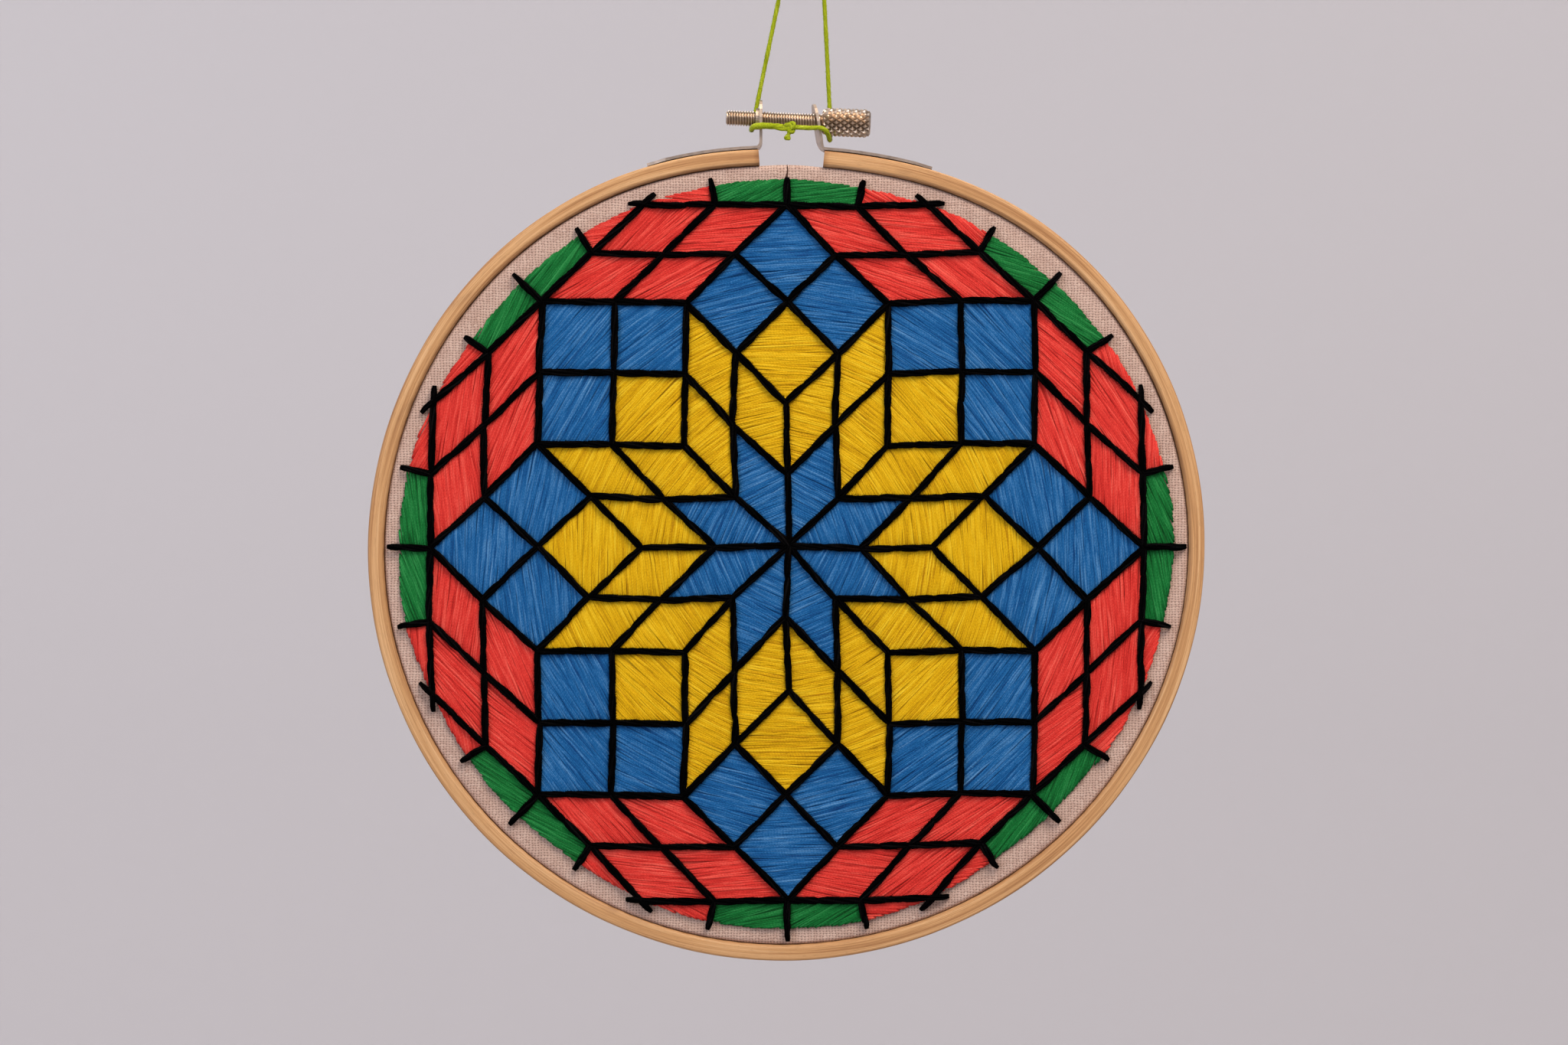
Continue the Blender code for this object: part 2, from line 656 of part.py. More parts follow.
def cord_route():
    """The route's points from end to end, with the round bend over the nail."""
    bend = []
    for angle in LOOP_ANGLES:
        spot = unit(angle) * LOOP_RADIUS
        bend.append((LOOP_MIDDLE[0] + spot.x, LOOP_MIDDLE[1], LOOP_MIDDLE[2] + spot.y))
    return [Vector(point) for point in CORD_RIGHT + bend + CORD_LEFT]


def smooth_route(route, step):
    """Points at most about one step apart on the smooth curve through the route's points."""
    padded = [route[0] * 2 - route[1]] + route + [route[-1] * 2 - route[-2]]
    smooth = [route[0]]
    for index in range(1, len(padded) - 2):
        before, start, end, after = padded[index - 1:index + 3]
        pieces = max(2, round((end - start).length / step))
        for piece in range(1, pieces + 1):
            t = piece / pieces
            smooth.append(0.5 * (2 * start + (end - before) * t
                                 + (2 * before - 5 * start + 4 * end - after) * t ** 2
                                 + (3 * start - before - 3 * end + after) * t ** 3))
    return smooth


def build_cord():
    points = smooth_route(cord_route(), CORD_STEP)
    data = bpy.data.curves.new("hanging_cord", "CURVE")
    data.dimensions = "3D"
    data.bevel_depth = CORD_RADIUS * MM
    data.bevel_resolution = 2
    data.use_fill_caps = True
    line = data.splines.new("POLY")
    line.points.add(len(points) - 1)
    for target, point in zip(line.points, points):
        target.co = (*(point * MM), 1.0)
    place(add_object("hanging_cord", data, "lime"))


def add_hidden(name, shell):
    data = bpy.data.meshes.new(name)
    shell.to_mesh(data)
    shell.free()
    guide = bpy.data.objects.new(name, data)
    bpy.context.scene.collection.objects.link(guide)
    guide.hide_render = True
    guide.display_type = "WIRE"
    return guide


def build_knot():
    """The knot's core, the turn that wraps it, and the tail that ends in a small ball."""
    core = bmesh.new()
    bmesh.ops.create_uvsphere(core, u_segments=16, v_segments=10, radius=MM)
    bmesh.ops.scale(core, vec=KNOT_HALF_SIZE, verts=core.verts)
    data = bpy.data.meshes.new("cord_knot")
    core.to_mesh(data)
    core.free()
    data.shade_smooth()
    knot = add_object("cord_knot", data, "lime")
    knot.location = Vector(KNOT_MIDDLE) * MM
    place(knot)

    points = []
    for turn in range(KNOT_WRAP_STEPS):
        around = unit(360.0 * turn / KNOT_WRAP_STEPS)
        for side in range(KNOT_WRAP_SIDES):
            rim = unit(360.0 * side / KNOT_WRAP_SIDES) * KNOT_WRAP_THICKNESS
            reach = KNOT_WRAP_RADIUS + rim.x
            points.append(Vector((rim.y, around.x * reach, around.y * reach)) * MM)
    wrap_data = bpy.data.meshes.new("cord_knot_wrap")
    wrap_data.from_pydata(points, [], sweep_faces(KNOT_WRAP_STEPS, KNOT_WRAP_SIDES, closed=True))
    wrap_shell = bmesh.new()
    wrap_shell.from_mesh(wrap_data)
    bmesh.ops.recalc_face_normals(wrap_shell, faces=wrap_shell.faces)
    wrap = add_hidden("cord_knot_turn", wrap_shell)
    wrap.rotation_euler = (0.0, math.radians(KNOT_WRAP_TILT), 0.0)
    wrap.location = Vector(KNOT_MIDDLE) * MM
    place(wrap)

    tail_line = Vector(TAIL_END) - Vector(KNOT_MIDDLE)
    tail_shell = bmesh.new()
    bmesh.ops.create_cone(tail_shell, cap_ends=True, segments=8, radius1=TAIL_RADIUS * MM,
                          radius2=TAIL_RADIUS * MM, depth=tail_line.length * MM)
    tail = add_hidden("cord_knot_tail", tail_shell)
    tail.rotation_euler = tail_line.to_track_quat("Z", "Y").to_euler()
    tail.location = (Vector(KNOT_MIDDLE) + Vector(TAIL_END)) / 2 * MM
    place(tail)

    ball_shell = bmesh.new()
    bmesh.ops.create_icosphere(ball_shell, subdivisions=2, radius=TAIL_BALL_RADIUS * MM)
    ball = add_hidden("cord_knot_ball", ball_shell)
    ball.location = Vector(TAIL_END) * MM
    place(ball)
    for guide in (wrap, tail, ball):
        combine(knot, guide, "UNION")


def main():
    clear_scene()
    build_outer_hoop()
    build_inner_hoop()
    build_cloth()
    cells = star_cells()
    spots = {spot_key(corner): drawn(corner) for _, corners in cells for corner in corners}
    build_patches(cells, spots)
    build_outlines(cells)
    build_thumbscrew()
    build_brackets()
    build_cord()
    build_knot()


main()
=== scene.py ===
"""Looks of the hoop embroidery: threads, linen, wood, steel and cord laid over the fixed CAD frame.

Points are drawn in hoop coordinates, in millimetres: x to the right, depth towards the wall and z up,
from the middle of the hoop. settled() turns them into the frame's metres.
"""

import math

import bpy
import numpy as np
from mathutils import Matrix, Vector


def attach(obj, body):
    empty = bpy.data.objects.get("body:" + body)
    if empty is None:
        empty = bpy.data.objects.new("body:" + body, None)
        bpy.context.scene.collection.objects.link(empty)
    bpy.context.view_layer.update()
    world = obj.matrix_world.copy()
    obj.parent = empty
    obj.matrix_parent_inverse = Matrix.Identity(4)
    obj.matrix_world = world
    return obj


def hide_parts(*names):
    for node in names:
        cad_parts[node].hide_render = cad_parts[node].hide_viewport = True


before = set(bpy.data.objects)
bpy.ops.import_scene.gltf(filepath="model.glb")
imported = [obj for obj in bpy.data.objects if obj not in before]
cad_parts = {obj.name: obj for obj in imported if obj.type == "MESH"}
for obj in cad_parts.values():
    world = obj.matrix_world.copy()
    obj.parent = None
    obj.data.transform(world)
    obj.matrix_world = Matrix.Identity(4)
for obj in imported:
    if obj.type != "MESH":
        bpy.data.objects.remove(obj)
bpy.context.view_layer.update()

MM = 0.001
HANG_POINT = np.array((5.85, 3.4, 167.56))
CHANCE = np.random.default_rng(20)

# The photograph's view: face on, with this much width in the frame at the hoop.
VIEW_WIDTH = 399.2
VIEW_MIDDLE = (-0.6, 6.4)
LENS = 85.0
SENSOR = 36.0

# The hoop and cloth, as in the CAD. SNUG and GAP_BULGE press the fold on the outer ring and into its gap.
RING_RADIUS = 105.9
OVAL_SWELL = 0.8
OVAL_ANGLE = 16.0
FLAT_DROP = 3.8
FLAT_ANGLE = 86.0
FLAT_SPREAD = 28.0
RING_THICKNESS = 4.0
RING_FRONT = -4.75
RING_BACK = 4.75
RING_LEFT_END = 94.0
RING_RIGHT_END = 84.5
SECTION_STEP = 1.6
CLOTH_INSET = 4.3
CLOTH_FRONT = -3.75
CLOTH_BACK = -2.75
CLOTH_END = 4.05
CLOTH_MIDDLE = 105.0
CLOTH_STEPS = 240
GAP_ANGLE = 89.3
GAP_HALF = 4.6
GAP_BULGE = 0.25
SNUG = 0.2
INNER_INSET = 5.6
INNER_THICKNESS = 3.8
INNER_FRONT = -2.45

# The stitched star, as in the CAD.
ARM_COUNT = 8
ARM_STEP = 45.0
HALF_ARM = 22.5
FLAT_SPLAY = 67.5
STAR_EDGE = 18.4
LINEN_BAND = 4.8
LINEN_BAND_SWING = 1.0
SIDE_OVERSHOOT = 0.22
NOTCH_OVERSHOOT = 3.0
CREASED_OVERSHOOT = 0.4
CREASED_NOTCH = 90.0
QUARTER_OVERSHOOT = 2.0
SLOW_STRAY = 0.55
QUICK_STRAY = 0.35
RIM_STEADIES = 0.6

# Satin stitch: single threads side by side in bundles.
THREAD_PITCH = 0.40
BUNDLE_SIZE = 3
BUNDLE_GAP = 0.07
THREAD_HALF_WIDTH = 0.31
THREAD_HEIGHT = 0.12
THREAD_STATION = 3.2
FILL_DEPTH = -4.52
UNDER_DEPTH = -4.46
RIM_END_DEPTH = -3.80
OUTER_CELLS = 84.0
FIVE_SIDED_LEAN = 17.0
RIM_LEAN = 15.0

# Black back stitch: a core and four strands a stitch, sunk at both ends, with fibres along its sides.
STRANDS = 4
STRAND_STATION = 1.45
STITCH_TOP = -5.18
STITCH_END_DEPTH = -4.75
LINEN_END_DEPTH = -4.05
LINEN_LAP = 1.7
LONG_LINE = 12.0
HAIRS_A_MM = 23

# The back of the work.
REVERSE_RADIUS = 93.6
REVERSE_LINE_RADIUS = 94.5
REVERSE_HALF_WIDTH = 0.43

# The screw, as in the CAD, with the thread and knurl that only show here.
SCREW_DEPTH = -0.7
SCREW_LEFT_X = -15.4
SCREW_LEFT_Z = 109.9
SCREW_FALL = math.radians(2.4)
SHANK_RADIUS = 2.0
SHANK_SIDES = 40
THREAD_STEP = 0.7
THREAD_DEEP = 0.36
HEAD_START_X = 9.15
HEAD_END_X = 21.5
HEAD_RADIUS = 3.6
KNURL_AROUND = 13
KNURL_ROWS = 11
KNURL_MARGIN = 0.42
KNURL_DEEP = 0.70
KNURL_TOP = 0.24

# The cord's route, as in the CAD. SNUG_BENDS lifts its skin at the two ears: height, place and spread.
CORD_RADIUS = 0.64
LOOP_MIDDLE = (5.85, 3.4, 165.6)
LOOP_RADIUS = 2.6
CORD_RIGHT = [
    (2.84, -5.30, 106.95), (5.80, -5.22, 106.80), (8.45, -5.20, 106.75), (9.85, -4.95, 106.05),
    (10.70, -3.30, 104.75), (11.05, -0.80, 104.15), (11.20, 1.90, 104.80), (11.25, 3.60, 106.70),
    (11.20, 4.02, 109.00), (11.10, 3.98, 113.00), (10.45, 3.75, 126.50), (9.80, 3.60, 139.50),
    (9.15, 3.45, 153.00),
]
CORD_LEFT = [
    (0.90, 3.40, 154.50), (-2.20, 3.35, 139.50), (-4.95, 3.20, 126.20), (-7.55, 3.05, 113.60),
    (-8.35, 3.05, 110.40), (-8.74, 2.60, 107.95), (-8.88, 0.90, 106.75), (-8.88, -1.40, 106.60),
    (-8.74, -3.70, 106.85), (-8.00, -4.95, 107.20), (-6.30, -5.30, 107.35), (-3.60, -5.30, 107.25),
    (-0.90, -5.30, 107.00),
]
LOOP_ANGLES = (3.0, 45.0, 90.0, 135.0, 168.0)
CORD_STEP = 0.5
CORD_SIDES = 24
CORD_TURN = 7.5
CORD_LOBES = 4
CORD_GROOVE = 0.20
HAIR_COUNT = 3200
SNUG_BENDS = [(0.42, 0.055, 0.018), (0.30, 0.931, 0.014)]
KNOT_MIDDLE = np.array((0.95, -5.30, 106.95))
TAIL_END = np.array((0.28, -5.40, 104.40))
SLACK = [(-3.5, -5.40, 107.10), (-2.5, -5.55, 106.75), (-1.2, -5.60, 106.42), (0.2, -5.50, 106.50),
         (0.9, -5.40, 106.80)]


def settled(points):
    return (np.asarray(points, float) - HANG_POINT) * MM


def unit(angle):
    return np.array((math.cos(math.radians(angle)), math.sin(math.radians(angle))))


def beside(direction):
    return np.array((-direction[1], direction[0]))


def between(low, high, count=None):
    return CHANCE.uniform(low, high, count)


def stray(size, count=None):
    return CHANCE.normal(0.0, size, count)


def arch(share):
    """Up from nothing to one at the middle, and down again."""
    return np.sin(np.pi * share)


def unit_rows(vectors, least=0.0):
    return vectors / (np.linalg.norm(vectors, axis=1, keepdims=True) + least)


def at_depth(flat, depth):
    """Points (x, z) of the hoop's plane, each with its depth."""
    return np.stack([flat[:, 0], np.broadcast_to(depth, len(flat)), flat[:, 1]], axis=1)


def run_along(path):
    """How far along its path each point is."""
    return np.concatenate([[0.0], np.cumsum(np.linalg.norm(np.diff(path, axis=0), axis=1))])


def pairs_round(items):
    """Each item with the next one, and the last with the first."""
    return zip(items, items[1:] + items[:1])


def ring_radius(angle):
    from_flat = (angle - FLAT_ANGLE + 180.0) % 360.0 - 180.0
    swell = OVAL_SWELL * np.cos(np.radians(2.0 * (angle - OVAL_ANGLE)))
    return RING_RADIUS + swell - FLAT_DROP * np.exp(-(from_flat / FLAT_SPREAD) ** 2)


# Objects and meshes

def add_object(name, data):
    made = bpy.data.objects.new(name, data)
    bpy.context.scene.collection.objects.link(made)
    return made


def add_camera():
    data = bpy.data.cameras.new("photo_view")
    data.lens = LENS
    data.sensor_width = SENSOR
    data.clip_start = 0.01
    camera = add_object("photo_view", data)
    away = VIEW_WIDTH / SENSOR * LENS
    camera.location = Vector(settled((VIEW_MIDDLE[0], RING_FRONT - away, VIEW_MIDDLE[1])))
    camera.rotation_euler = (math.pi / 2, 0.0, 0.0)
    bpy.context.scene.camera = camera


def add_piece(name, points, faces, finishes, marks, body="hoop", slots=None, smooth_angle=None):
    """A mesh from hoop coordinates, riding on a CAD body.

    marks is {attribute name: one vector a point} and slots the finish number of each face.
    """
    data = bpy.data.meshes.new(name)
    data.from_pydata(settled(points).tolist(), [], faces)
    for attribute, values in marks.items():
        layer = data.attributes.new(attribute, "FLOAT_VECTOR", "POINT")
        layer.data.foreach_set("vector", np.asarray(values, np.float32).ravel())
    for finish in finishes:
        data.materials.append(FINISHES[finish])
    if slots is not None:
        data.polygons.foreach_set("material_index", np.asarray(slots, np.int32))
    data.shade_smooth()
    if smooth_angle is not None:
        data.set_sharp_from_angle(angle=math.radians(smooth_angle))
    piece = add_object(name, data)
    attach(piece, body)
    return piece


def grid_faces(rows, columns, closed_rows=False, closed_columns=False):
    row = np.arange(rows if closed_rows else rows - 1)[:, None]
    column = np.arange(columns if closed_columns else columns - 1)[None, :]
    start, below = row * columns, (row + 1) % rows * columns
    after = (column + 1) % columns
    corners = [start + column, start + after, below + after, below + column]
    return np.stack(corners, axis=-1).reshape(-1, 4).tolist()


def end_faces(rows, columns):
    """The faces that close a grid's first and last rows."""
    return [list(range(columns)), [(rows - 1) * columns + column for column in range(columns)]]


def add_front_map(piece):
    """A second map that looks straight at the hoop, for a piece of many thin threads."""
    data = piece.data
    spots = np.empty(len(data.vertices) * 3)
    data.vertices.foreach_get("co", spots)
    spots = spots.reshape(-1, 3)[:, (0, 2)] / MM + HANG_POINT[[0, 2]]
    corners = np.empty(len(data.loops), np.int32)
    data.loops.foreach_get("vertex_index", corners)
    layer = data.uv_layers.new(name="OFBake")
    hoop_width = 216.0
    layer.uv.foreach_set("vector", (spots[corners] / hoop_width + 0.5).astype(np.float32).ravel())


class Threads:
    """Gathers many thin threads into one mesh. Each is marked with its length, number and side."""

    def __init__(self, across=4, number=0):
        self.across = across
        self.number = number
        self.points = []
        self.faces = []
        self.marks = []
        self.slots = []
        self.count = 0

    def gather(self, points, faces, marks, slot=0):
        self.faces += [[corner + self.count for corner in face] for face in faces]
        self.points.append(points)
        self.marks.append(marks)
        self.slots += [slot] * len(faces)
        self.count += len(points)

    def lay(self, path, half_width, height, slot=0, up=(0.0, -1.0, 0.0)):
        """A thread along path, half round towards up."""
        path = np.asarray(path, float)
        rows = len(path)
        tangent = unit_rows(np.gradient(path, axis=0))
        side = unit_rows(np.cross(tangent, up))
        lift = np.cross(side, tangent)
        turns = np.linspace(0.0, math.pi, self.across)
        wide = np.broadcast_to(half_width, rows)[:, None, None]
        high = np.broadcast_to(height, rows)[:, None, None]
        spots = (path[:, None] + side[:, None] * wide * np.cos(turns)[None, :, None]
                 + lift[:, None] * high * np.sin(turns)[None, :, None])
        marks = np.empty(spots.shape)
        marks[..., 0] = (run_along(path) + 37.0 * (self.number % 11))[:, None]
        marks[..., 1] = self.number
        marks[..., 2] = turns / math.pi
        self.gather(spots.reshape(-1, 3), grid_faces(rows, self.across), marks.reshape(-1, 3), slot)
        self.number += 1

    def add_faces(self, points, faces, side=0.5):
        """Faces that lie under the threads or stand out of them, marked as one more thread."""
        points = np.asarray(points, float)
        marks = np.empty((len(points), 3))
        marks[:, 0] = points[:, 0]
        marks[:, 1:] = self.number, side
        self.gather(points, faces, marks)
        self.number += 1

    def finish(self, name, finishes):
        return add_piece(name, np.concatenate(self.points), self.faces, finishes,
                         {"thread": np.concatenate(self.marks)}, slots=self.slots)


def add_hairs(threads, spots, directions, lengths, width):
    """Stray fibres: each is one thin triangle that stands out of the thread it grows from."""
    directions = unit_rows(directions)
    half = unit_rows(np.cross(directions, (0.0, -1.0, 0.0)), 1e-9) * width / 2
    points = np.stack([spots - half, spots + half, spots + directions * lengths[:, None]], axis=1)
    threads.add_faces(points.reshape(-1, 3), np.arange(len(spots) * 3).reshape(-1, 3).tolist())


# Finishes

class Finish:
    """A Principled material and short ways to add nodes to it."""

    def __init__(self, name, roughness, metallic=0.0, **values):
        self.material = bpy.data.materials.new(name)
        self.material.use_nodes = True
        self.tree = self.material.node_tree
        self.shader = self.tree.nodes["Principled BSDF"]
        values.update(Roughness=roughness, Metallic=metallic)
        for socket, value in values.items():
            self.shader.inputs[socket.replace("_", " ")].default_value = value

    def node(self, kind, inputs=None, **settings):
        made = self.tree.nodes.new("ShaderNode" + kind)
        for name, value in settings.items():
            setattr(made, name, value)
        for name, value in (inputs or {}).items():
            socket = made.inputs[name]
            if isinstance(value, bpy.types.NodeSocket):
                self.tree.links.new(value, socket)
            else:
                socket.default_value = value
        return made

    def math(self, operation, *values):
        return self.node("Math", dict(enumerate(values)), operation=operation).outputs[0]

    def plus(self, first, second):
        return self.math("ADD", first, second)

    def times(self, first, second):
        return self.math("MULTIPLY", first, second)

    def vector(self, operation, first, second):
        return self.node("VectorMath", {0: first, 1: second}, operation=operation).outputs[0]

    def mark(self, name):
        return self.node("Attribute", attribute_name=name).outputs["Vector"]

    def split(self, vector):
        return self.node("SeparateXYZ", {0: vector}).outputs

    def join(self, x, y, z):
        return self.node("CombineXYZ", {0: x, 1: y, 2: z}).outputs[0]

    def noise(self, vector, detail=2.0, scale=1.0, roughness=0.5, output="Fac"):
        inputs = {"Vector": vector, "Scale": scale, "Detail": detail, "Roughness": roughness}
        return self.node("TexNoise", inputs).outputs[output]

    def drawn_noise(self, vector, squeeze, detail=2.0, roughness=0.5):
        """Noise that is drawn out along the directions in which it is squeezed least."""
        return self.noise(self.vector("MULTIPLY", vector, squeeze), detail, roughness=roughness)

    def ramp(self, factor, *stops):
        made = self.node("ValToRGB", {"Fac": factor})
        elements = made.color_ramp.elements
        for index, (place, colour) in enumerate(stops):
            element = elements[index] if index < 2 else elements.new(place)
            element.position = place
            element.color = (*colour, 1.0)
        return made.outputs["Color"]

    def mix(self, factor, first, second, blend="MIX"):
        made = self.node("Mix", {0: factor, 6: first, 7: second}, data_type="RGBA", blend_type=blend)
        return made.outputs[2]

    def over(self, under, factor, colour, blend="MIX"):
        """A plain colour over another, as much as the factor says."""
        return self.mix(factor, under, (*colour, 1.0), blend)

    def spread(self, value, low, high):
        return self.node("MapRange", {"Value": value, "To Min": low, "To Max": high}).outputs["Result"]

    def smooth(self, value, low, high):
        return self.node("MapRange", {"Value": value, "From Min": low, "From Max": high},
                         interpolation_type="SMOOTHSTEP").outputs["Result"]

    def done(self, colour, height, distance, strength, roughness=None):
        bump = self.node("Bump", {"Height": height, "Distance": distance, "Strength": strength})
        self.tree.links.new(colour, self.shader.inputs["Base Color"])
        if roughness is not None:
            self.tree.links.new(roughness, self.shader.inputs["Roughness"])
        self.tree.links.new(bump.outputs["Normal"], self.shader.inputs["Normal"])
        return self.material


def thread_finish(name, roughness, dark, middle, light, specular=0.12, sheen=0.05, ply=0.75):
    """Cotton thread: fine twisted fibres, with a tone that drifts over each bundle and along each thread, and
    painted shade on each thread's sides for the grooves between threads.
    """
    made = Finish(name, roughness, Specular_IOR_Level=specular, Sheen_Weight=sheen, Sheen_Roughness=0.45)
    mark = made.mark("thread")
    along, number, across = made.split(mark)
    tone = made.node("TexWhiteNoise", {"W": number}, noise_dimensions="1D").outputs["Value"]
    bundle = made.drawn_noise(mark, (0.07, 0.40, 0.0))
    streak = made.drawn_noise(mark, (0.16, 7.31, 1.3))
    fibre = made.drawn_noise(mark, (2.1, 3.17, 7.0), 3.0, 0.65)
    phase = made.plus(made.times(along, math.tau / ply), made.times(across, 3.6))
    slip = made.times(made.plus(made.times(tone, 6.3), streak), 4.0)
    twist = made.math("SINE", made.plus(phase, slip))
    value = made.times(tone, 0.20)
    for part, share in ((bundle, 0.90), (streak, 0.45), (fibre, 0.80), (twist, 0.035)):
        value = made.plus(value, made.times(part, share))
    even, contrast = 1.175, 1.2
    value = made.plus(made.times(made.math("SUBTRACT", value, even), contrast), 0.5)
    tinted = made.ramp(value, (0.05, dark), (0.95, light), (0.5, middle))
    # Painted shade: each thread's sides, and faces marked at side 0, are darkened towards the dark colour as
    # the shade in the grooves between threads.
    from_crest = made.math("ABSOLUTE", made.math("SUBTRACT", across, 0.5))
    groove_painted_shade = made.times(made.smooth(from_crest, 0.18, 0.46), 0.55)
    colour = made.over(tinted, groove_painted_shade, [0.8 * part for part in dark])
    relief = made.plus(made.times(fibre, 0.9), made.times(twist, 0.12))
    return made.done(colour, relief, 0.00009, 0.9, made.spread(fibre, roughness - 0.10, roughness + 0.14))


def linen_finish():
    """Plain-woven linen with slubs, uneven yarns and small holes between them; the holes and the low places
    of the weave get painted shade.
    """
    made = Finish("linen_weave", 0.9, Specular_IOR_Level=0.18, Sheen_Weight=0.2, Sheen_Roughness=0.5)
    place = made.mark("weave")
    drift = made.noise(place, scale=0.45, output="Color")
    shift = made.vector("MULTIPLY", made.vector("SUBTRACT", drift, (0.5, 0.5, 0.5)), (0.80, 0.80, 0.0))
    across, upwards, _ = made.split(made.vector("ADD", place, shift))
    u = made.math("DIVIDE", across, 0.78)
    v = made.math("DIVIDE", upwards, 0.66)
    wave_u, wave_v = (made.math("SINE", made.times(turns, math.pi)) for turns in (u, v))
    warp, weft = (made.math("ABSOLUTE", wave) for wave in (wave_u, wave_v))
    order = made.times(made.times(wave_u, wave_v), 2.2)
    order = made.math("MINIMUM", made.math("MAXIMUM", order, -1.0), 1.0)
    warp_tone = made.noise(made.join(made.times(made.math("FLOOR", u), 5.3), made.times(upwards, 0.22), 0.0))
    weft_tone = made.noise(made.join(made.times(across, 0.22), made.times(made.math("FLOOR", v), 5.7), 9.0))
    warp_high = made.times(warp, made.plus(0.6, made.times(order, 0.4)))
    weft_high = made.times(weft, made.math("SUBTRACT", 0.6, made.times(order, 0.4)))
    high = made.math("MAXIMUM", warp_high, weft_high)
    top_tone = made.mix(made.math("GREATER_THAN", order, 0.0), weft_tone, warp_tone)
    shaded = made.ramp(top_tone, (0.25, (0.68, 0.490, 0.425)), (0.75, (0.95, 0.765, 0.685)),
                       (0.5, (0.825, 0.630, 0.560)))
    # dark is painted shade: it darkens where the yarns dip and fills the holes between them.
    dark = (0.15, 0.080, 0.062)
    shaded = made.over(shaded, made.times(made.smooth(high, 0.66, 0.34), 0.15), dark)
    # Painted shade in the holes between the yarns.
    hole_painted_shade = made.smooth(made.plus(made.times(warp, warp), made.times(weft, weft)), 0.85, 0.16)
    openness = made.spread(made.noise(place, scale=1.7), 0.10, 0.95)
    shaded = made.over(shaded, made.times(hole_painted_shade, openness), dark)
    fuzz = made.noise(place, 3.0, scale=7.0)
    shaded = made.over(shaded, made.spread(fuzz, 0.0, 0.80), (0.62, 0.54, 0.48), "MULTIPLY")
    blotch = made.spread(made.noise(place, 3.0, scale=0.11), 0.0, 0.45)
    shaded = made.over(shaded, blotch, (0.70, 0.56, 0.46), "MULTIPLY")
    return made.done(shaded, made.plus(high, made.times(fuzz, 0.35)), 0.00018, 0.5)


def wood_finish(name, dark, middle, light):
    """Pale beech, grain running round the hoop, with pores, flecks, knots, and edges darkened a little all
    round and most at the inner front edge, where it is painted shade.
    """
    made = Finish(name, 0.5, Specular_IOR_Level=0.38)
    grain = made.mark("grain")
    broad = made.drawn_noise(grain, (0.018, 0.9, 0.55), 3.0)
    lines = made.drawn_noise(grain, (0.035, 3.2, 2.6), 3.0, 0.62)
    pores = made.drawn_noise(grain, (0.30, 15.0, 11.0))
    flecks = made.drawn_noise(grain, (0.85, 3.4, 3.0), 1.0)
    fine = made.drawn_noise(grain, (0.06, 13.0, 9.0))
    knots = made.drawn_noise(grain, (0.055, 0.16, 0.16), 1.0)
    tone = made.plus(made.times(broad, 0.45), made.times(lines, 0.45))
    tone = made.plus(tone, made.times(fine, 0.12))
    wood = made.ramp(tone, (0.38, dark), (0.64, light), (0.51, middle))
    # edge darkens the rounded edges, most the inner front edge, where it is painted shade: the shadow line
    # against the linen. end darkens the ring's cut ends.
    edge, end, _ = made.split(made.mark("wear_and_shade"))
    for mask, share, colour, blend in (
            (made.smooth(pores, 0.42, 0.30), 0.45, (0.24, 0.115, 0.05), "MIX"),
            (made.smooth(flecks, 0.66, 0.80), 0.30, (0.30, 0.15, 0.07), "MIX"),
            (made.smooth(knots, 0.70, 0.78), 0.45, (0.22, 0.11, 0.055), "MIX"),
            (edge, 0.58, (0.42, 0.34, 0.30), "MULTIPLY"),
            (end, 0.55, (0.40, 0.28, 0.20), "MULTIPLY")):
        wood = made.over(wood, made.times(mask, share), colour, blend)
    relief = made.plus(lines, made.times(pores, 0.5))
    return made.done(wood, relief, 0.00005, 0.7, made.spread(lines, 0.40, 0.62))


def steel_finish(name, tint, roughness, painted_crevice_shades=False):
    """Nickel-plated steel with fine rubbed scratches and dull spots, and painted shade in its crevices."""
    made = Finish(name, roughness, 1.0)
    place = made.node("TexCoord").outputs["Object"]
    rubbed = made.drawn_noise(place, (260.0, 2600.0, 2600.0), 3.0)
    dull = made.drawn_noise(place, (420.0, 420.0, 420.0))
    plate = made.ramp(dull, (0.30, [0.72 * part for part in tint]), (0.62, tint))
    if painted_crevice_shades:
        # Painted shade: the thread's roots and the knurl's valleys are darkened as the shade in those
        # crevices.
        painted_crevice_shade = made.split(made.mark("painted_crevice_shade"))[0]
        plate = made.over(plate, made.times(painted_crevice_shade, 0.62), (0.14, 0.095, 0.065))
    rough = made.plus(made.spread(rubbed, roughness - 0.07, roughness + 0.10), made.times(dull, 0.08))
    return made.done(plate, rubbed, 0.000012, 0.5, rough)


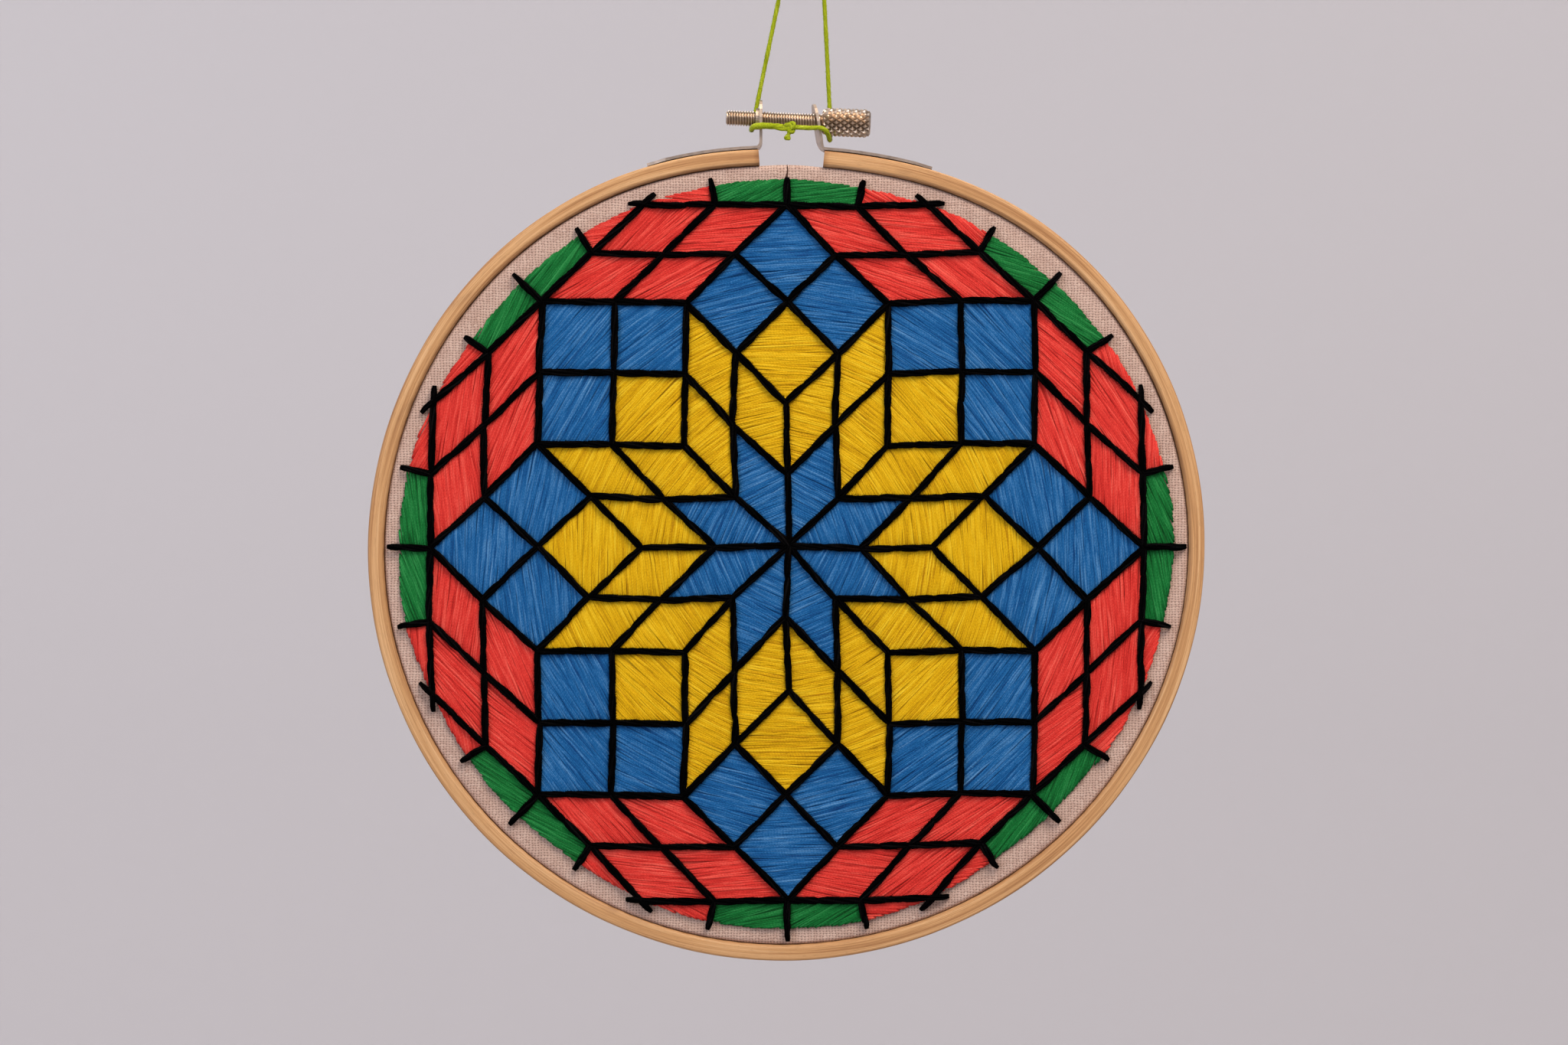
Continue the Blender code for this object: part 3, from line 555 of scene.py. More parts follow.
# Threads: their roughness, their dark, middle and light colours, and what differs from plain floss.
THREAD_FINISHES = {
    "blue_floss": (0.60, (0.001, 0.036, 0.170), (0.008, 0.132, 0.390), (0.110, 0.310, 0.620), {}),
    "yellow_floss": (0.62, (0.460, 0.215, 0.0005), (0.800, 0.470, 0.002), (0.960, 0.680, 0.030), {}),
    "red_floss": (0.62, (0.460, 0.012, 0.010), (0.800, 0.046, 0.036), (1.000, 0.150, 0.110), {}),
    "green_floss": (0.60, (0.001, 0.055, 0.008), (0.004, 0.180, 0.034), (0.040, 0.330, 0.090), {}),
    "black_floss": (0.95, (0.0006, 0.0006, 0.0007), (0.0018, 0.0017, 0.002), (0.007, 0.0065, 0.007),
                    {"specular": 0.0, "sheen": 0.0}),
    "lime_cord": (0.85, (0.160, 0.220, 0.003), (0.400, 0.490, 0.014), (0.600, 0.690, 0.070),
                  {"specular": 0.08, "ply": 1.1}),
    "linen_yarn": (0.9, (0.42, 0.29, 0.22), (0.62, 0.45, 0.37), (0.78, 0.62, 0.52), {"specular": 0.15}),
    # The next colours are the small crease's painted shade.
    "linen_crease_painted_shade": (0.9, (0.03, 0.015, 0.012), (0.08, 0.04, 0.03), (0.20, 0.11, 0.08), {"specular": 0.05}),
}
FINISHES = {name: thread_finish(name, *colours, **other)
            for name, (*colours, other) in THREAD_FINISHES.items()}
FINISHES["linen"] = linen_finish()
FINISHES["outer"] = wood_finish("beech_outer", (0.42, 0.20, 0.08), (0.64, 0.35, 0.15), (0.80, 0.50, 0.255))
FINISHES["inner"] = wood_finish("beech_inner", (0.44, 0.26, 0.14), (0.62, 0.41, 0.24), (0.75, 0.54, 0.35))
FINISHES["steel"] = steel_finish("nickel_steel", (0.66, 0.54, 0.45), 0.38)
FINISHES["screw"] = steel_finish("nickel_screw", (0.84, 0.68, 0.54), 0.30, painted_crevice_shades=True)


# Cord and knot

def smooth_route(route, step):
    route = np.asarray(route, float)
    padded = np.vstack([route[0] * 2 - route[1], route, route[-1] * 2 - route[-2]])
    smooth = [route[0]]
    for index in range(1, len(padded) - 2):
        before, start, end, after = padded[index - 1:index + 3]
        pieces = max(2, round(float(np.linalg.norm(end - start)) / step))
        for piece in range(1, pieces + 1):
            t = piece / pieces
            smooth.append(0.5 * (2 * start + (end - before) * t
                                 + (2 * before - 5 * start + 4 * end - after) * t ** 2
                                 + (3 * start - before - 3 * end + after) * t ** 3))
    return np.array(smooth)


def cord_route():
    bend = []
    for angle in LOOP_ANGLES:
        spot = unit(angle) * LOOP_RADIUS
        bend.append((LOOP_MIDDLE[0] + spot[0], LOOP_MIDDLE[1], LOOP_MIDDLE[2] + spot[1]))
    return CORD_RIGHT + bend + CORD_LEFT


def carried_frames(path, closed):
    """Two directions across the path at each point, carried along it without twisting."""
    if closed:
        tangent = np.roll(path, -1, axis=0) - np.roll(path, 1, axis=0)
    else:
        tangent = np.gradient(path, axis=0)
    tangent = unit_rows(tangent)
    side = np.cross(tangent[0], (0.31, -0.8, 0.2))
    sides = []
    for direction in tangent:
        side = side - direction * (side @ direction)
        side /= np.linalg.norm(side)
        sides.append(side)
    sides = np.array(sides)
    return sides, np.cross(tangent, sides)


def twisted_tube(path, radius, turn_length, sides, closed=False):
    """Points, faces and marks of a tube whose skin shows the strands it is twisted from."""
    across, over = carried_frames(path, closed)
    along = run_along(path)
    turns = np.linspace(0.0, math.tau, sides, endpoint=False)[None, :]
    strand = CORD_LOBES * (turns / math.tau + along[:, None] / turn_length)
    crest = np.abs(arch(strand))
    reach = np.broadcast_to(radius, len(path))[:, None] * (1.0 - CORD_GROOVE + CORD_GROOVE * crest ** 0.7)
    points = (path[:, None] + across[:, None] * (reach * np.cos(turns))[..., None]
              + over[:, None] * (reach * np.sin(turns))[..., None])
    marks = np.stack([np.broadcast_to(along[:, None], strand.shape), np.floor(strand) + 40.0,
                      strand % 1.0], axis=-1)
    faces = grid_faces(len(path), sides, closed_rows=closed, closed_columns=True)
    if not closed:
        faces += end_faces(len(path), sides)
    return points.reshape(-1, 3), faces, marks.reshape(-1, 3)


def build_cord():
    path = smooth_route(cord_route(), CORD_STEP)
    share = np.linspace(0.0, 1.0, len(path))
    lower_left = np.clip((share - 0.935) / 0.025, 0.0, 1.0)
    lower_right = np.exp(-((share - 0.03) / 0.05) ** 2)
    uneven = 0.03 * np.sin(share * 171.0) + 0.03 * np.sin(share * 97.0 + 1.0)
    radius = CORD_RADIUS * (0.88 + 0.42 * lower_left + 0.06 * lower_right + uneven)
    snug = path.copy()
    for lift, middle, spread in SNUG_BENDS:
        snug[:, 2] += lift * np.exp(-((share - middle) / spread) ** 2)
    threads = Threads(number=60)
    threads.gather(*twisted_tube(snug, radius, CORD_TURN, CORD_SIDES))
    picks = CHANCE.integers(4, len(path) - 4, HAIR_COUNT)
    tangent = unit_rows(np.gradient(path, axis=0))
    out = unit_rows(np.cross(tangent[picks], CHANCE.normal(size=(HAIR_COUNT, 3))))
    add_hairs(threads, snug[picks] + out * CORD_RADIUS * 0.7,
              out + tangent[picks] * between(-1.3, 1.3, (HAIR_COUNT, 1)),
              between(0.25, 0.60, HAIR_COUNT), 0.07)
    cord = threads.finish("cord_strand", ["lime_cord"])
    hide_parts("hanging_cord")
    knot = build_knot()


def trefoil(middle, size, tilt, steps):
    turn = np.linspace(0.0, math.tau, steps, endpoint=False)
    x, depth, z = np.array([np.sin(turn) + 2 * np.sin(2 * turn), -1.1 * np.sin(3 * turn),
                            np.cos(turn) - 2 * np.cos(2 * turn)]) / 3.0
    lean = math.radians(tilt)
    leant = (x * math.cos(lean) - z * math.sin(lean), depth, x * math.sin(lean) + z * math.cos(lean))
    return np.stack(leant, axis=1) * size + middle


def build_knot():
    """The tied knot, a slack length beside it, the short tail below it and the tail's own end knot."""
    threads = Threads(number=90)
    core_turns = np.linspace(-1.0, 1.0, 9)[:, None]
    tail = KNOT_MIDDLE + np.linspace(0.12, 0.93, 9)[:, None] * (TAIL_END - KNOT_MIDDLE)
    tail[:, 0] += 0.12 * np.sin(np.linspace(0.0, math.pi, 9))
    tubes = [
        (trefoil(KNOT_MIDDLE, (1.42, 1.0, 1.30), 24.0, 72), 0.50, 4.0, 16, True),
        (KNOT_MIDDLE + core_turns * np.array((2.0, 0.0, 0.0)), 0.64, 4.0, 16),
        (smooth_route(SLACK, 0.4), 0.46, 4.0, 16),
        (tail, np.linspace(0.60, 0.46, 9), 4.0, 16),
        (trefoil(TAIL_END, (0.52, 0.50, 0.52), 50.0, 48), 0.42, 3.0, 14, True),
        (TAIL_END + core_turns * np.array((0.1, 0.0, 0.5)), 0.5, 3.0, 14),
    ]
    for tube in tubes:
        threads.gather(*twisted_tube(*tube))
    out = unit_rows(CHANCE.normal(size=(220, 3)))
    add_hairs(threads, KNOT_MIDDLE + out * (1.35, 1.0, 1.2), out, between(0.25, 0.7, 220), 0.05)
    add_hairs(threads, TAIL_END + out[:60] * 0.75, out[:60], between(0.2, 0.45, 60), 0.05)
    knot = threads.finish("tied_knot", ["lime_cord"])
    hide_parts("cord_knot")
    return knot


# The star's cells and lines, as in the CAD

ARM_SIDE, FLAT_SIDE = unit(HALF_ARM), unit(FLAT_SPLAY)
STAR_REACH = STAR_EDGE * 4.0 * (ARM_SIDE[0] + FLAT_SIDE[0])
QUARTER_TURN = math.degrees(math.atan2(FLAT_SIDE[1], 4.0 * ARM_SIDE[0] + 3.0 * FLAT_SIDE[0]))


def drawn(spot):
    """Where a corner of the star falls once the star is fitted to the hoop, with a hand's small strays."""
    angle = math.degrees(math.atan2(spot[1], spot[0]))
    band = LINEN_BAND - LINEN_BAND_SWING * math.cos(math.radians(4.0 * angle))
    fill_radius = ring_radius(angle) - RING_THICKNESS - band
    outward = min(float(np.hypot(*spot)) / STAR_REACH, 1.0)
    x, z = spot * (1.0 + outward ** 2 * (fill_radius / STAR_REACH - 1.0))
    sideways = SLOW_STRAY * math.sin(0.13 * z + 0.7) + QUICK_STRAY * math.sin(0.29 * x + 2.1)
    upwards = SLOW_STRAY * math.sin(0.12 * x + 1.9) + QUICK_STRAY * math.sin(0.31 * z + 0.4)
    return np.array((x, z)) + np.array((sideways, upwards)) * (1.0 - RIM_STEADIES * outward)


def lattice_cell(corner, sides, column, row):
    start = corner + sides[0] * column + sides[1] * row
    return [start, start + sides[0], start + sides[0] + sides[1], start + sides[1]]


def rim_spot(angle, past=0.0):
    return unit(angle) * (STAR_REACH + past)


def lies_on_rim(start, end):
    return min(np.hypot(*start), np.hypot(*end)) > STAR_REACH - 0.01


def star_cells():
    """Cells of the star as (colour, corners), each counter-clockwise, before drawn() settles them."""
    cells = []
    for arm in range(ARM_COUNT):
        axis = ARM_STEP * arm + HALF_ARM
        notch = axis + HALF_ARM
        arm_sides, square_sides, flat_sides = (
            (unit(way - splay) * STAR_EDGE, unit(way + splay) * STAR_EDGE)
            for way, splay in ((axis, HALF_ARM), (notch, ARM_STEP), (axis, FLAT_SPLAY)))
        arm_tip = (arm_sides[0] + arm_sides[1]) * 2
        notch_corner = unit(notch) * STAR_EDGE * 2
        for column, row in ((0, 0), (0, 1), (1, 0), (1, 1)):
            colours = ("blue", "yellow") if column == row == 0 else ("yellow", "blue")
            cells.append((colours[0], lattice_cell(np.zeros(2), arm_sides, column, row)))
            cells.append((colours[1], lattice_cell(notch_corner, square_sides, column, row)))
            cells.append(("red", lattice_cell(arm_tip, flat_sides, column, row)))
        corner = arm_tip + (flat_sides[0] + flat_sides[1]) * 2
        for side in (1, -1):
            away, along = flat_sides[::-side]
            notch_spot = arm_tip + away * 2
            quarter = notch_spot + along
            turn = QUARTER_TURN * side
            half = HALF_ARM * side
            outer = [corner, rim_spot(axis + turn / 2), rim_spot(axis + turn), quarter]
            inner = [quarter, rim_spot(axis + turn), rim_spot(axis + (turn + half) / 2),
                     rim_spot(axis + half), notch_spot]
            cells.append(("red", outer[::side]))
            cells.append(("green", inner[::side]))
    return cells


def outline_lines(cells):
    """Black lines as (start, end, runs on linen at its end), before drawn() settles them."""
    lines = {}
    for _, corners in cells:
        for start, end in pairs_round(corners):
            if lies_on_rim(start, end):
                continue
            if np.hypot(*start) > np.hypot(*end):
                start, end = end, start
            key = frozenset((round(float(spot[0]), 3), round(float(spot[1]), 3)) for spot in (start, end))
            lines[key] = (start, end, False)
    found = list(lines.values())
    for arm in range(ARM_COUNT):
        axis = ARM_STEP * arm + HALF_ARM
        corner = rim_spot(axis)
        for splay in (-FLAT_SPLAY, FLAT_SPLAY):
            found.append((corner, corner + unit(axis + splay) * STAR_EDGE * SIDE_OVERSHOOT, True))
        for turn in (-QUARTER_TURN, QUARTER_TURN):
            found.append((rim_spot(axis + turn), rim_spot(axis + turn, QUARTER_OVERSHOOT), True))
        notch = axis + HALF_ARM
        past = CREASED_OVERSHOOT if notch == CREASED_NOTCH else NOTCH_OVERSHOOT
        found.append((rim_spot(notch), rim_spot(notch, past), True))
    return found


# Satin stitch

def clipped(spot, direction, polygon):
    """Where a line enters and leaves a convex counter-clockwise polygon, and through which sides."""
    enter, leave = -1e9, 1e9
    enter_side = leave_side = -1
    for index, (start, end) in enumerate(pairs_round(polygon)):
        side = end - start
        inward = beside(side)
        slope = float(inward @ direction)
        gap = float(inward @ (start - spot))
        if abs(slope) < 1e-9:
            if gap > 0:
                return None
            continue
        meet = gap / slope
        if slope > 0 and meet > enter:
            enter, enter_side = meet, index
        if slope < 0 and meet < leave:
            leave, leave_side = meet, index
    if leave - enter < 0.9:
        return None
    return enter, leave, enter_side, leave_side


def stations(length):
    """Distances along a thread, close together near its ends where it bends down."""
    if length < 2.4:
        return np.array([0.0, 0.22, 0.5, 0.78, 1.0]) * length
    middle = max(1, round((length - 1.8) / THREAD_STATION))
    inner = [0.9 + (length - 1.8) * step / middle for step in range(1, middle)]
    return np.array([0.0, 0.32, 0.9] + inner + [length - 0.9, length - 0.32, length])


def cell_angle(polygon, colour, index):
    """Direction of a cell's stitches: mostly round the hoop, slanted where it meets the linen."""
    middle = np.mean(polygon, axis=0)
    around = math.degrees(math.atan2(middle[1], middle[0])) + 90.0
    lean = between(-5.0, 5.0)
    slant = 1.0 if index % 2 else -1.0
    if len(polygon) == 5:
        lean += slant * FIVE_SIDED_LEAN
    elif colour == "red" and np.hypot(*middle) > OUTER_CELLS:
        lean += slant * RIM_LEAN
    return around + lean


def cell_reach(polygon, middle, angle):
    """The direction across a cell's stitches, and how far the cell reaches along it both ways."""
    normal = unit(angle + 90.0)
    marks = [float((spot - middle) @ normal) for spot in polygon]
    return normal, min(marks), max(marks)


def lay_cell(threads, colour, corners, index):
    polygon = [drawn(corner) for corner in corners]
    on_rim = [lies_on_rim(start, end) for start, end in pairs_round(corners)]
    angle = cell_angle(polygon, colour, index)
    middle = np.mean(polygon, axis=0)
    normal, low, high = cell_reach(polygon, middle, angle)
    fan = between(4.0, 9.0) * (1 if CHANCE.random() < 0.5 else -1)
    sway_phase = between(0.0, math.tau)
    place = low + 0.15
    number = 0
    while place < high:
        if number % BUNDLE_SIZE == 0:
            bundle_lean = stray(0.9)
            bundle_high = stray(0.035)
            bundle_ends = between(-0.55, 0.45, 2)
            place += BUNDLE_GAP
        share = (place - low) / (high - low) - 0.5
        sway = 2.0 * math.sin(place * 0.5 + sway_phase)
        direction = unit(angle + fan * share + sway + bundle_lean + stray(0.7))
        spot = middle + normal * place
        found = clipped(spot, direction, polygon)
        place += THREAD_PITCH * between(0.9, 1.1)
        number += 1
        if found is None:
            continue
        rims = [on_rim[side] for side in found[2:]]
        before, after = (own + stray(0.10) if rim else between(-0.15, 0.25)
                         for rim, own in zip(rims, bundle_ends))
        enter = found[0] - before
        length = found[1] + after - enter
        if length >= 0.8:
            lay_stitch(threads, spot, direction, enter, length, rims, bundle_high)


def lay_stitch(threads, spot, direction, enter, length, rims, bundle_high):
    """One satin thread: low where it ends, and drawn in and down to the linen at an end on the rim."""
    along = stations(length)
    normal = beside(direction)
    wave = between(0.0, math.tau)
    sway = 0.07 * np.sin(along * 0.75 + wave) * np.sin(np.pi * along / length) + stray(0.05)
    flat = spot + direction * (enter + along)[:, None] + normal * sway[:, None]
    high = bundle_high + stray(0.03) + 0.05 * np.sin(along * 0.9 + 2.0 * wave)
    crown = 0.12 * np.sin(np.pi * along / length)
    depth = FILL_DEPTH - crown - high
    width = np.ones(len(along))
    for rim, distance in zip(rims, (along, length - along)):
        reach, drop, narrowing = (0.42, RIM_END_DEPTH - FILL_DEPTH, 0.28) if rim else (0.55, 0.30, 0.10)
        depth = depth + np.exp(-(distance / reach) ** 1.6) * drop
        width = width * (1.0 - narrowing * np.exp(-(distance / 0.4) ** 2))
    threads.lay(at_depth(flat, depth), THREAD_HALF_WIDTH * width * between(0.9, 1.12),
                THREAD_HEIGHT * width)


def lay_under(threads, corners):
    """The fill under the top threads, a little short of the cell's edge where that shows."""
    polygon = np.array([drawn(corner) for corner in corners])
    radius = np.hypot(polygon[:, 0], polygon[:, 1])
    shrink = np.where(radius > 88.0, 1.0 - 0.75 / radius, 1.0)
    # side=0.0 marks the under-fill as a thread's groove, so its finish gives it the painted groove shade.
    threads.add_faces(at_depth(polygon * shrink[:, None], UNDER_DEPTH), [list(range(len(polygon)))], side=0.0)


def build_satin(cells):
    arms = range(1, ARM_COUNT + 1)
    nodes = {
        "blue": ["blue_star"] + [f"blue_corner_{arm}" for arm in arms],
        "yellow": ["yellow_ring"],
        "red": [f"red_diamond_{arm}" for arm in arms],
        "green": [f"green_rim_{arm}" for arm in arms],
    }
    for colour, replaced in nodes.items():
        threads = Threads()
        for index, (own, corners) in enumerate(cells):
            if own == colour:
                lay_under(threads, corners)
                lay_cell(threads, colour, corners, index)
        satin = threads.finish("satin_" + colour, [colour + "_floss"])
        add_front_map(satin)
        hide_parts(*replaced)


# Black back stitch

def lay_back_stitch(threads, start, end, end_depth, half_width):
    """One stitch of six-strand floss: thick in the middle, drawn tight where it enters the cloth."""
    length = float(np.linalg.norm(end - start))
    count = max(5, round(length / STRAND_STATION) + 1)
    share = np.linspace(0.0, 1.0, count)
    swell = arch(share) ** (0.4 if length > 3.0 else 0.6)
    direction = (end - start) / length
    normal = beside(direction)
    line = start + direction * (length * share)[:, None]
    bow = stray(0.10) * arch(share)
    twist = between(1.6, 3.4) * length / 10.0
    phase = between(0.0, math.tau)
    top = STITCH_TOP - 0.10 * swell
    depth = top + (STITCH_END_DEPTH - top) * (1.0 - share) ** 7 + (end_depth - top) * share ** 7
    threads.lay(at_depth(line + normal * bow[:, None], depth), half_width * (0.62 + 0.16 * swell), 0.22)
    for strand in range(STRANDS):
        turn = phase + math.tau * strand / STRANDS + twist * share
        wide = half_width * (0.46 + 0.20 * swell) * between(0.88, 1.12, count)
        aside = wide * np.cos(turn) + bow
        raised = 0.24 * (0.35 + 0.65 * swell) * np.sin(turn)
        thick = 0.36 * (0.70 + 0.30 * swell) * between(0.88, 1.12, count)
        threads.lay(at_depth(line + normal * aside[:, None], depth - raised), thick, thick)
    return normal


def build_outlines(cells):
    threads = Threads()
    hair_spots, hair_ways = [], []
    for start, end, on_linen in outline_lines(cells):
        first = drawn(start)
        last = drawn(end)
        length = float(np.linalg.norm(last - first))
        way = (last - first) / length
        cuts = [0.0, 1.0]
        if length > LONG_LINE and CHANCE.random() < 0.82:
            cuts.insert(1, between(0.36, 0.64))
        for low, high in zip(cuts, cuts[1:]):
            lap = between(0.25, 0.6) + (LINEN_LAP if on_linen else 0.0)
            near = first + way * (length * low - lap) + stray(0.10, 2)
            far = first + way * (length * high + (0.0 if on_linen else lap)) + stray(0.10, 2)
            half_width = between(0.80, 1.0) * (0.82 if on_linen else 1.0)
            end_depth = LINEN_END_DEPTH if on_linen else STITCH_END_DEPTH
            normal = lay_back_stitch(threads, near, far, end_depth, half_width)
            amount = int(length * (high - low) * HAIRS_A_MM)
            shares = between(0.03, 0.97, amount)
            sides = CHANCE.choice((-1.0, 1.0), amount)
            out = half_width * (0.66 + 0.26 * arch(shares)) * between(0.55, 1.0, amount)
            flat = near + (far - near) * shares[:, None] + normal * (sides * out)[:, None]
            hair_spots.append(at_depth(flat, between(-5.35, -4.95, amount)))
            lean = between(-1.2, 1.2, amount)
            ways = normal * sides[:, None] + way * lean[:, None]
            hair_ways.append(at_depth(ways, between(-0.5, 0.4, amount)))
    spots = np.concatenate(hair_spots)
    add_hairs(threads, spots, np.concatenate(hair_ways), between(0.15, 0.60, len(spots)), 0.09)
    outlines = threads.finish("back_stitching", ["black_floss"])
    add_front_map(outlines)
    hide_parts("outline_stitching")


def build_reverse(cells):
    """The back of the work: coarser, flatter threads of the same cells, and the outlines' short backs."""
    colours = ["blue", "yellow", "red", "green", "black"]
    threads = Threads(3)
    up = (0.0, 1.0, 0.0)
    for index, (colour, corners) in enumerate(cells):
        polygon = [drawn(corner) for corner in corners]
        middle = np.mean(polygon, axis=0)
        polygon = [middle + (spot - middle) * 0.93 for spot in polygon]
        polygon = [spot * min(1.0, REVERSE_RADIUS / float(np.hypot(*spot) + 1e-9)) for spot in polygon]
        angle = cell_angle(polygon, colour, index) + between(-4.0, 4.0)
        normal, low, high = cell_reach(polygon, middle, angle)
        place = low + 0.3
        while place < high:
            direction = unit(angle + stray(3.0))
            spot = middle + normal * place
            place += between(0.54, 0.74)
            found = clipped(spot, direction, polygon)
            if found is None:
                continue
            enter, leave = found[0] + between(-0.3, 0.3), found[1] + between(-0.3, 0.3)
            share = np.linspace(0.0, 1.0, 5)
            flat = spot + direction * (enter + (leave - enter) * share)[:, None]
            path = at_depth(flat, CLOTH_BACK + 0.02 + between(0.0, 0.05))
            half_width = REVERSE_HALF_WIDTH * (0.7 + 0.3 * arch(share))
            threads.lay(path, half_width, 0.16, colours.index(colour), up)
    share = np.linspace(-0.04, 1.04, 9)
    for start, end, on_linen in outline_lines(cells):
        first, last = drawn(start), drawn(end)
        if on_linen or max(np.hypot(*first), np.hypot(*last)) > REVERSE_LINE_RADIUS:
            continue
        way = (last - first) / np.linalg.norm(last - first)
        normal = beside(way)
        for offset in (-0.16, 0.16):
            aside = normal * (offset + 0.12 * np.sin(share * 9.0 + start[0]))[:, None]
            flat = first + (last - first) * share[:, None] + aside
            threads.lay(at_depth(flat, CLOTH_BACK + 0.14), 0.30, 0.14, colours.index("black"), up)
    reverse = threads.finish("reverse_threads", [colour + "_floss" for colour in colours])


# Linen

def linen_profile():
    """Insets and depths from the middle of the face, over the inner hoop and back along the reverse."""
    fold = 1.0
    bend = [(CLOTH_INSET + fold * (1.0 - math.sin(turn)), CLOTH_FRONT + fold * (1.0 - math.cos(turn)))
            for turn in np.linspace(0.0, math.pi / 2, 7)]
    insets = (CLOTH_MIDDLE, 92.0, 75.0, 55.0, 35.0, 22.0, 17.0, 14.0, 12.0, 10.5, 9.3, 8.2, 7.2, 6.4)
    face = [(inset, CLOTH_FRONT) for inset in insets]
    skirt = [(CLOTH_INSET, depth) for depth in (-1.8, -0.6, 0.8, 2.2, 3.2, CLOTH_END)]
    back = [(CLOTH_INSET + 0.95, depth) for depth in (CLOTH_END, 2.0, 0.0, -1.8)]
    back += [(CLOTH_INSET + 1.0, -2.3), (CLOTH_INSET + 1.3, CLOTH_BACK + 0.12)]
    reverse = (CLOTH_INSET + 1.8, 8.0, 10.0, 14.0, 24.0, 45.0, 70.0, 90.0, CLOTH_MIDDLE)
    return face + bend + skirt + back + [(inset, CLOTH_BACK) for inset in reverse]


def build_linen():
    """The stretched cloth: its face, the fold over the inner hoop and the edge trimmed at the back."""
    profile = linen_profile()
    angles = np.arange(CLOTH_STEPS) * 360.0 / CLOTH_STEPS
    turns = np.radians(angles)
    radius = ring_radius(angles)
    around = np.stack([np.cos(turns), np.sin(turns)], axis=1)
    gap = np.sin(np.clip(1.0 - np.abs(angles - GAP_ANGLE) / GAP_HALF, 0.0, 1.0) * math.pi / 2)
    points, flats = [], []
    run = 0.0
    before = profile[0]
    for inset, depth in profile:
        run += math.hypot(inset - before[0], depth - before[1])
        before = (inset, depth)
        pucker = np.zeros(CLOTH_STEPS)
        if depth == CLOTH_FRONT and inset < 12.0:
            close = math.exp(-((inset - 9.6) / 2.2) ** 2)
            pucker = 0.10 * close * np.sin(turns * 61.0) + 0.06 * np.sin(turns * 23.0 + inset)
        if depth == CLOTH_END:
            pucker = 0.25 * np.sin(turns * 17.0) + 0.15 * np.sin(turns * 53.0)
        bulge = (SNUG + GAP_BULGE * gap * (depth < 3.0)) * np.clip((6.5 - inset) / 2.0, 0.0, 1.0)
        points.append(at_depth(around * np.maximum(radius - inset + bulge, 0.6)[:, None], depth + pucker))
        flat = around * np.maximum(radius - CLOTH_MIDDLE + run, 0.05)[:, None]
        flats.append(np.stack([flat[:, 0], flat[:, 1], np.zeros(CLOTH_STEPS)], axis=1))
    first, last = end_faces(len(profile), CLOTH_STEPS)
    faces = [face[::-1] for face in grid_faces(len(profile), CLOTH_STEPS, closed_columns=True)]
    linen = add_piece("linen_panel", np.concatenate(points), faces + [first, last[::-1]], ["linen"],
                      {"weave": np.concatenate(flats)}, smooth_angle=50.0)
    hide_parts("cloth")
    fray = build_fray()


def build_fray():
    """Loose yarn ends along the linen's trimmed edge at the back, and the small crease at the top, whose
    shade is painted as a dark strip.
    """
    threads = Threads()
    share = np.linspace(0.0, 1.0, 4)
    for angle in np.arange(0.0, 360.0, 0.9):
        if CHANCE.random() < 0.25:
            continue
        here = angle + between(-0.3, 0.3)
        reach = ring_radius(here) - CLOTH_INSET - between(0.25, 0.75)
        long = between(0.5, 1.7)
        spot = unit(here)[None, :] * (reach - 0.25 * share * share * long)[:, None]
        slide = unit(here + 90.0)[None, :] * (stray(0.45) * share ** 2)[:, None]
        path = at_depth(spot + slide, CLOTH_END - 0.3 + share * long)
        threads.lay(path, 0.13, 0.13, up=(unit(here)[0], 0.0, unit(here)[1]))
    share = np.linspace(0.0, 1.0, 8)
    crease = np.stack([0.1 + 0.22 * np.sin(share * 3.4 + 0.4), 97.6 - 3.6 * share], axis=1)
    # The crease's shade is painted: a dark strip laid on the linen.
    threads.lay(at_depth(crease, CLOTH_FRONT - 0.02), 0.08 + 0.30 * share ** 1.5, 0.14, slot=1)
    fray = threads.finish("linen_fray", ["linen_yarn", "linen_crease_painted_shade"])
    return fray


# Hoops

def ring_section(outer, thickness, front, back, outer_round, inner_round, back_round):
    """Points round a hoop's section as (inset, depth, how much it is nicked and darkened, partly as painted
    shade).
    """
    inner = outer + thickness
    # The last number of each corner sets how much its round is nicked and darkened; the inner front corner's
    # 1.0 is painted shade, the shadow line where the ring meets the linen.
    corners = [
        (outer + outer_round, front + outer_round, outer_round, 180.0, 0.25),
        (inner - inner_round, front + inner_round, inner_round, 270.0, 1.0),
        (inner - back_round, back - back_round, back_round, 0.0, 0.3),
        (outer + back_round, back - back_round, back_round, 90.0, 0.3),
    ]
    section = []
    for inset, depth, radius, first, how_worn_and_shaded in corners:
        for turn in np.linspace(first, first + 90.0, 7):
            across, deep = unit(turn) * radius
            share = (turn - first) / 90.0
            middle = share if how_worn_and_shaded == 1.0 else arch(share)
            section.append((inset + across, depth + deep, how_worn_and_shaded * middle))
    filled = []
    for here, after in pairs_round(section):
        filled.append(here)
        pieces = int(math.hypot(after[0] - here[0], after[1] - here[1]) / SECTION_STEP) + 1
        for piece in range(1, pieces):
            inset, depth = (start + (end - start) * piece / pieces for start, end in zip(here[:2], after[:2]))
            filled.append((inset, depth, 0.0))
    return filled


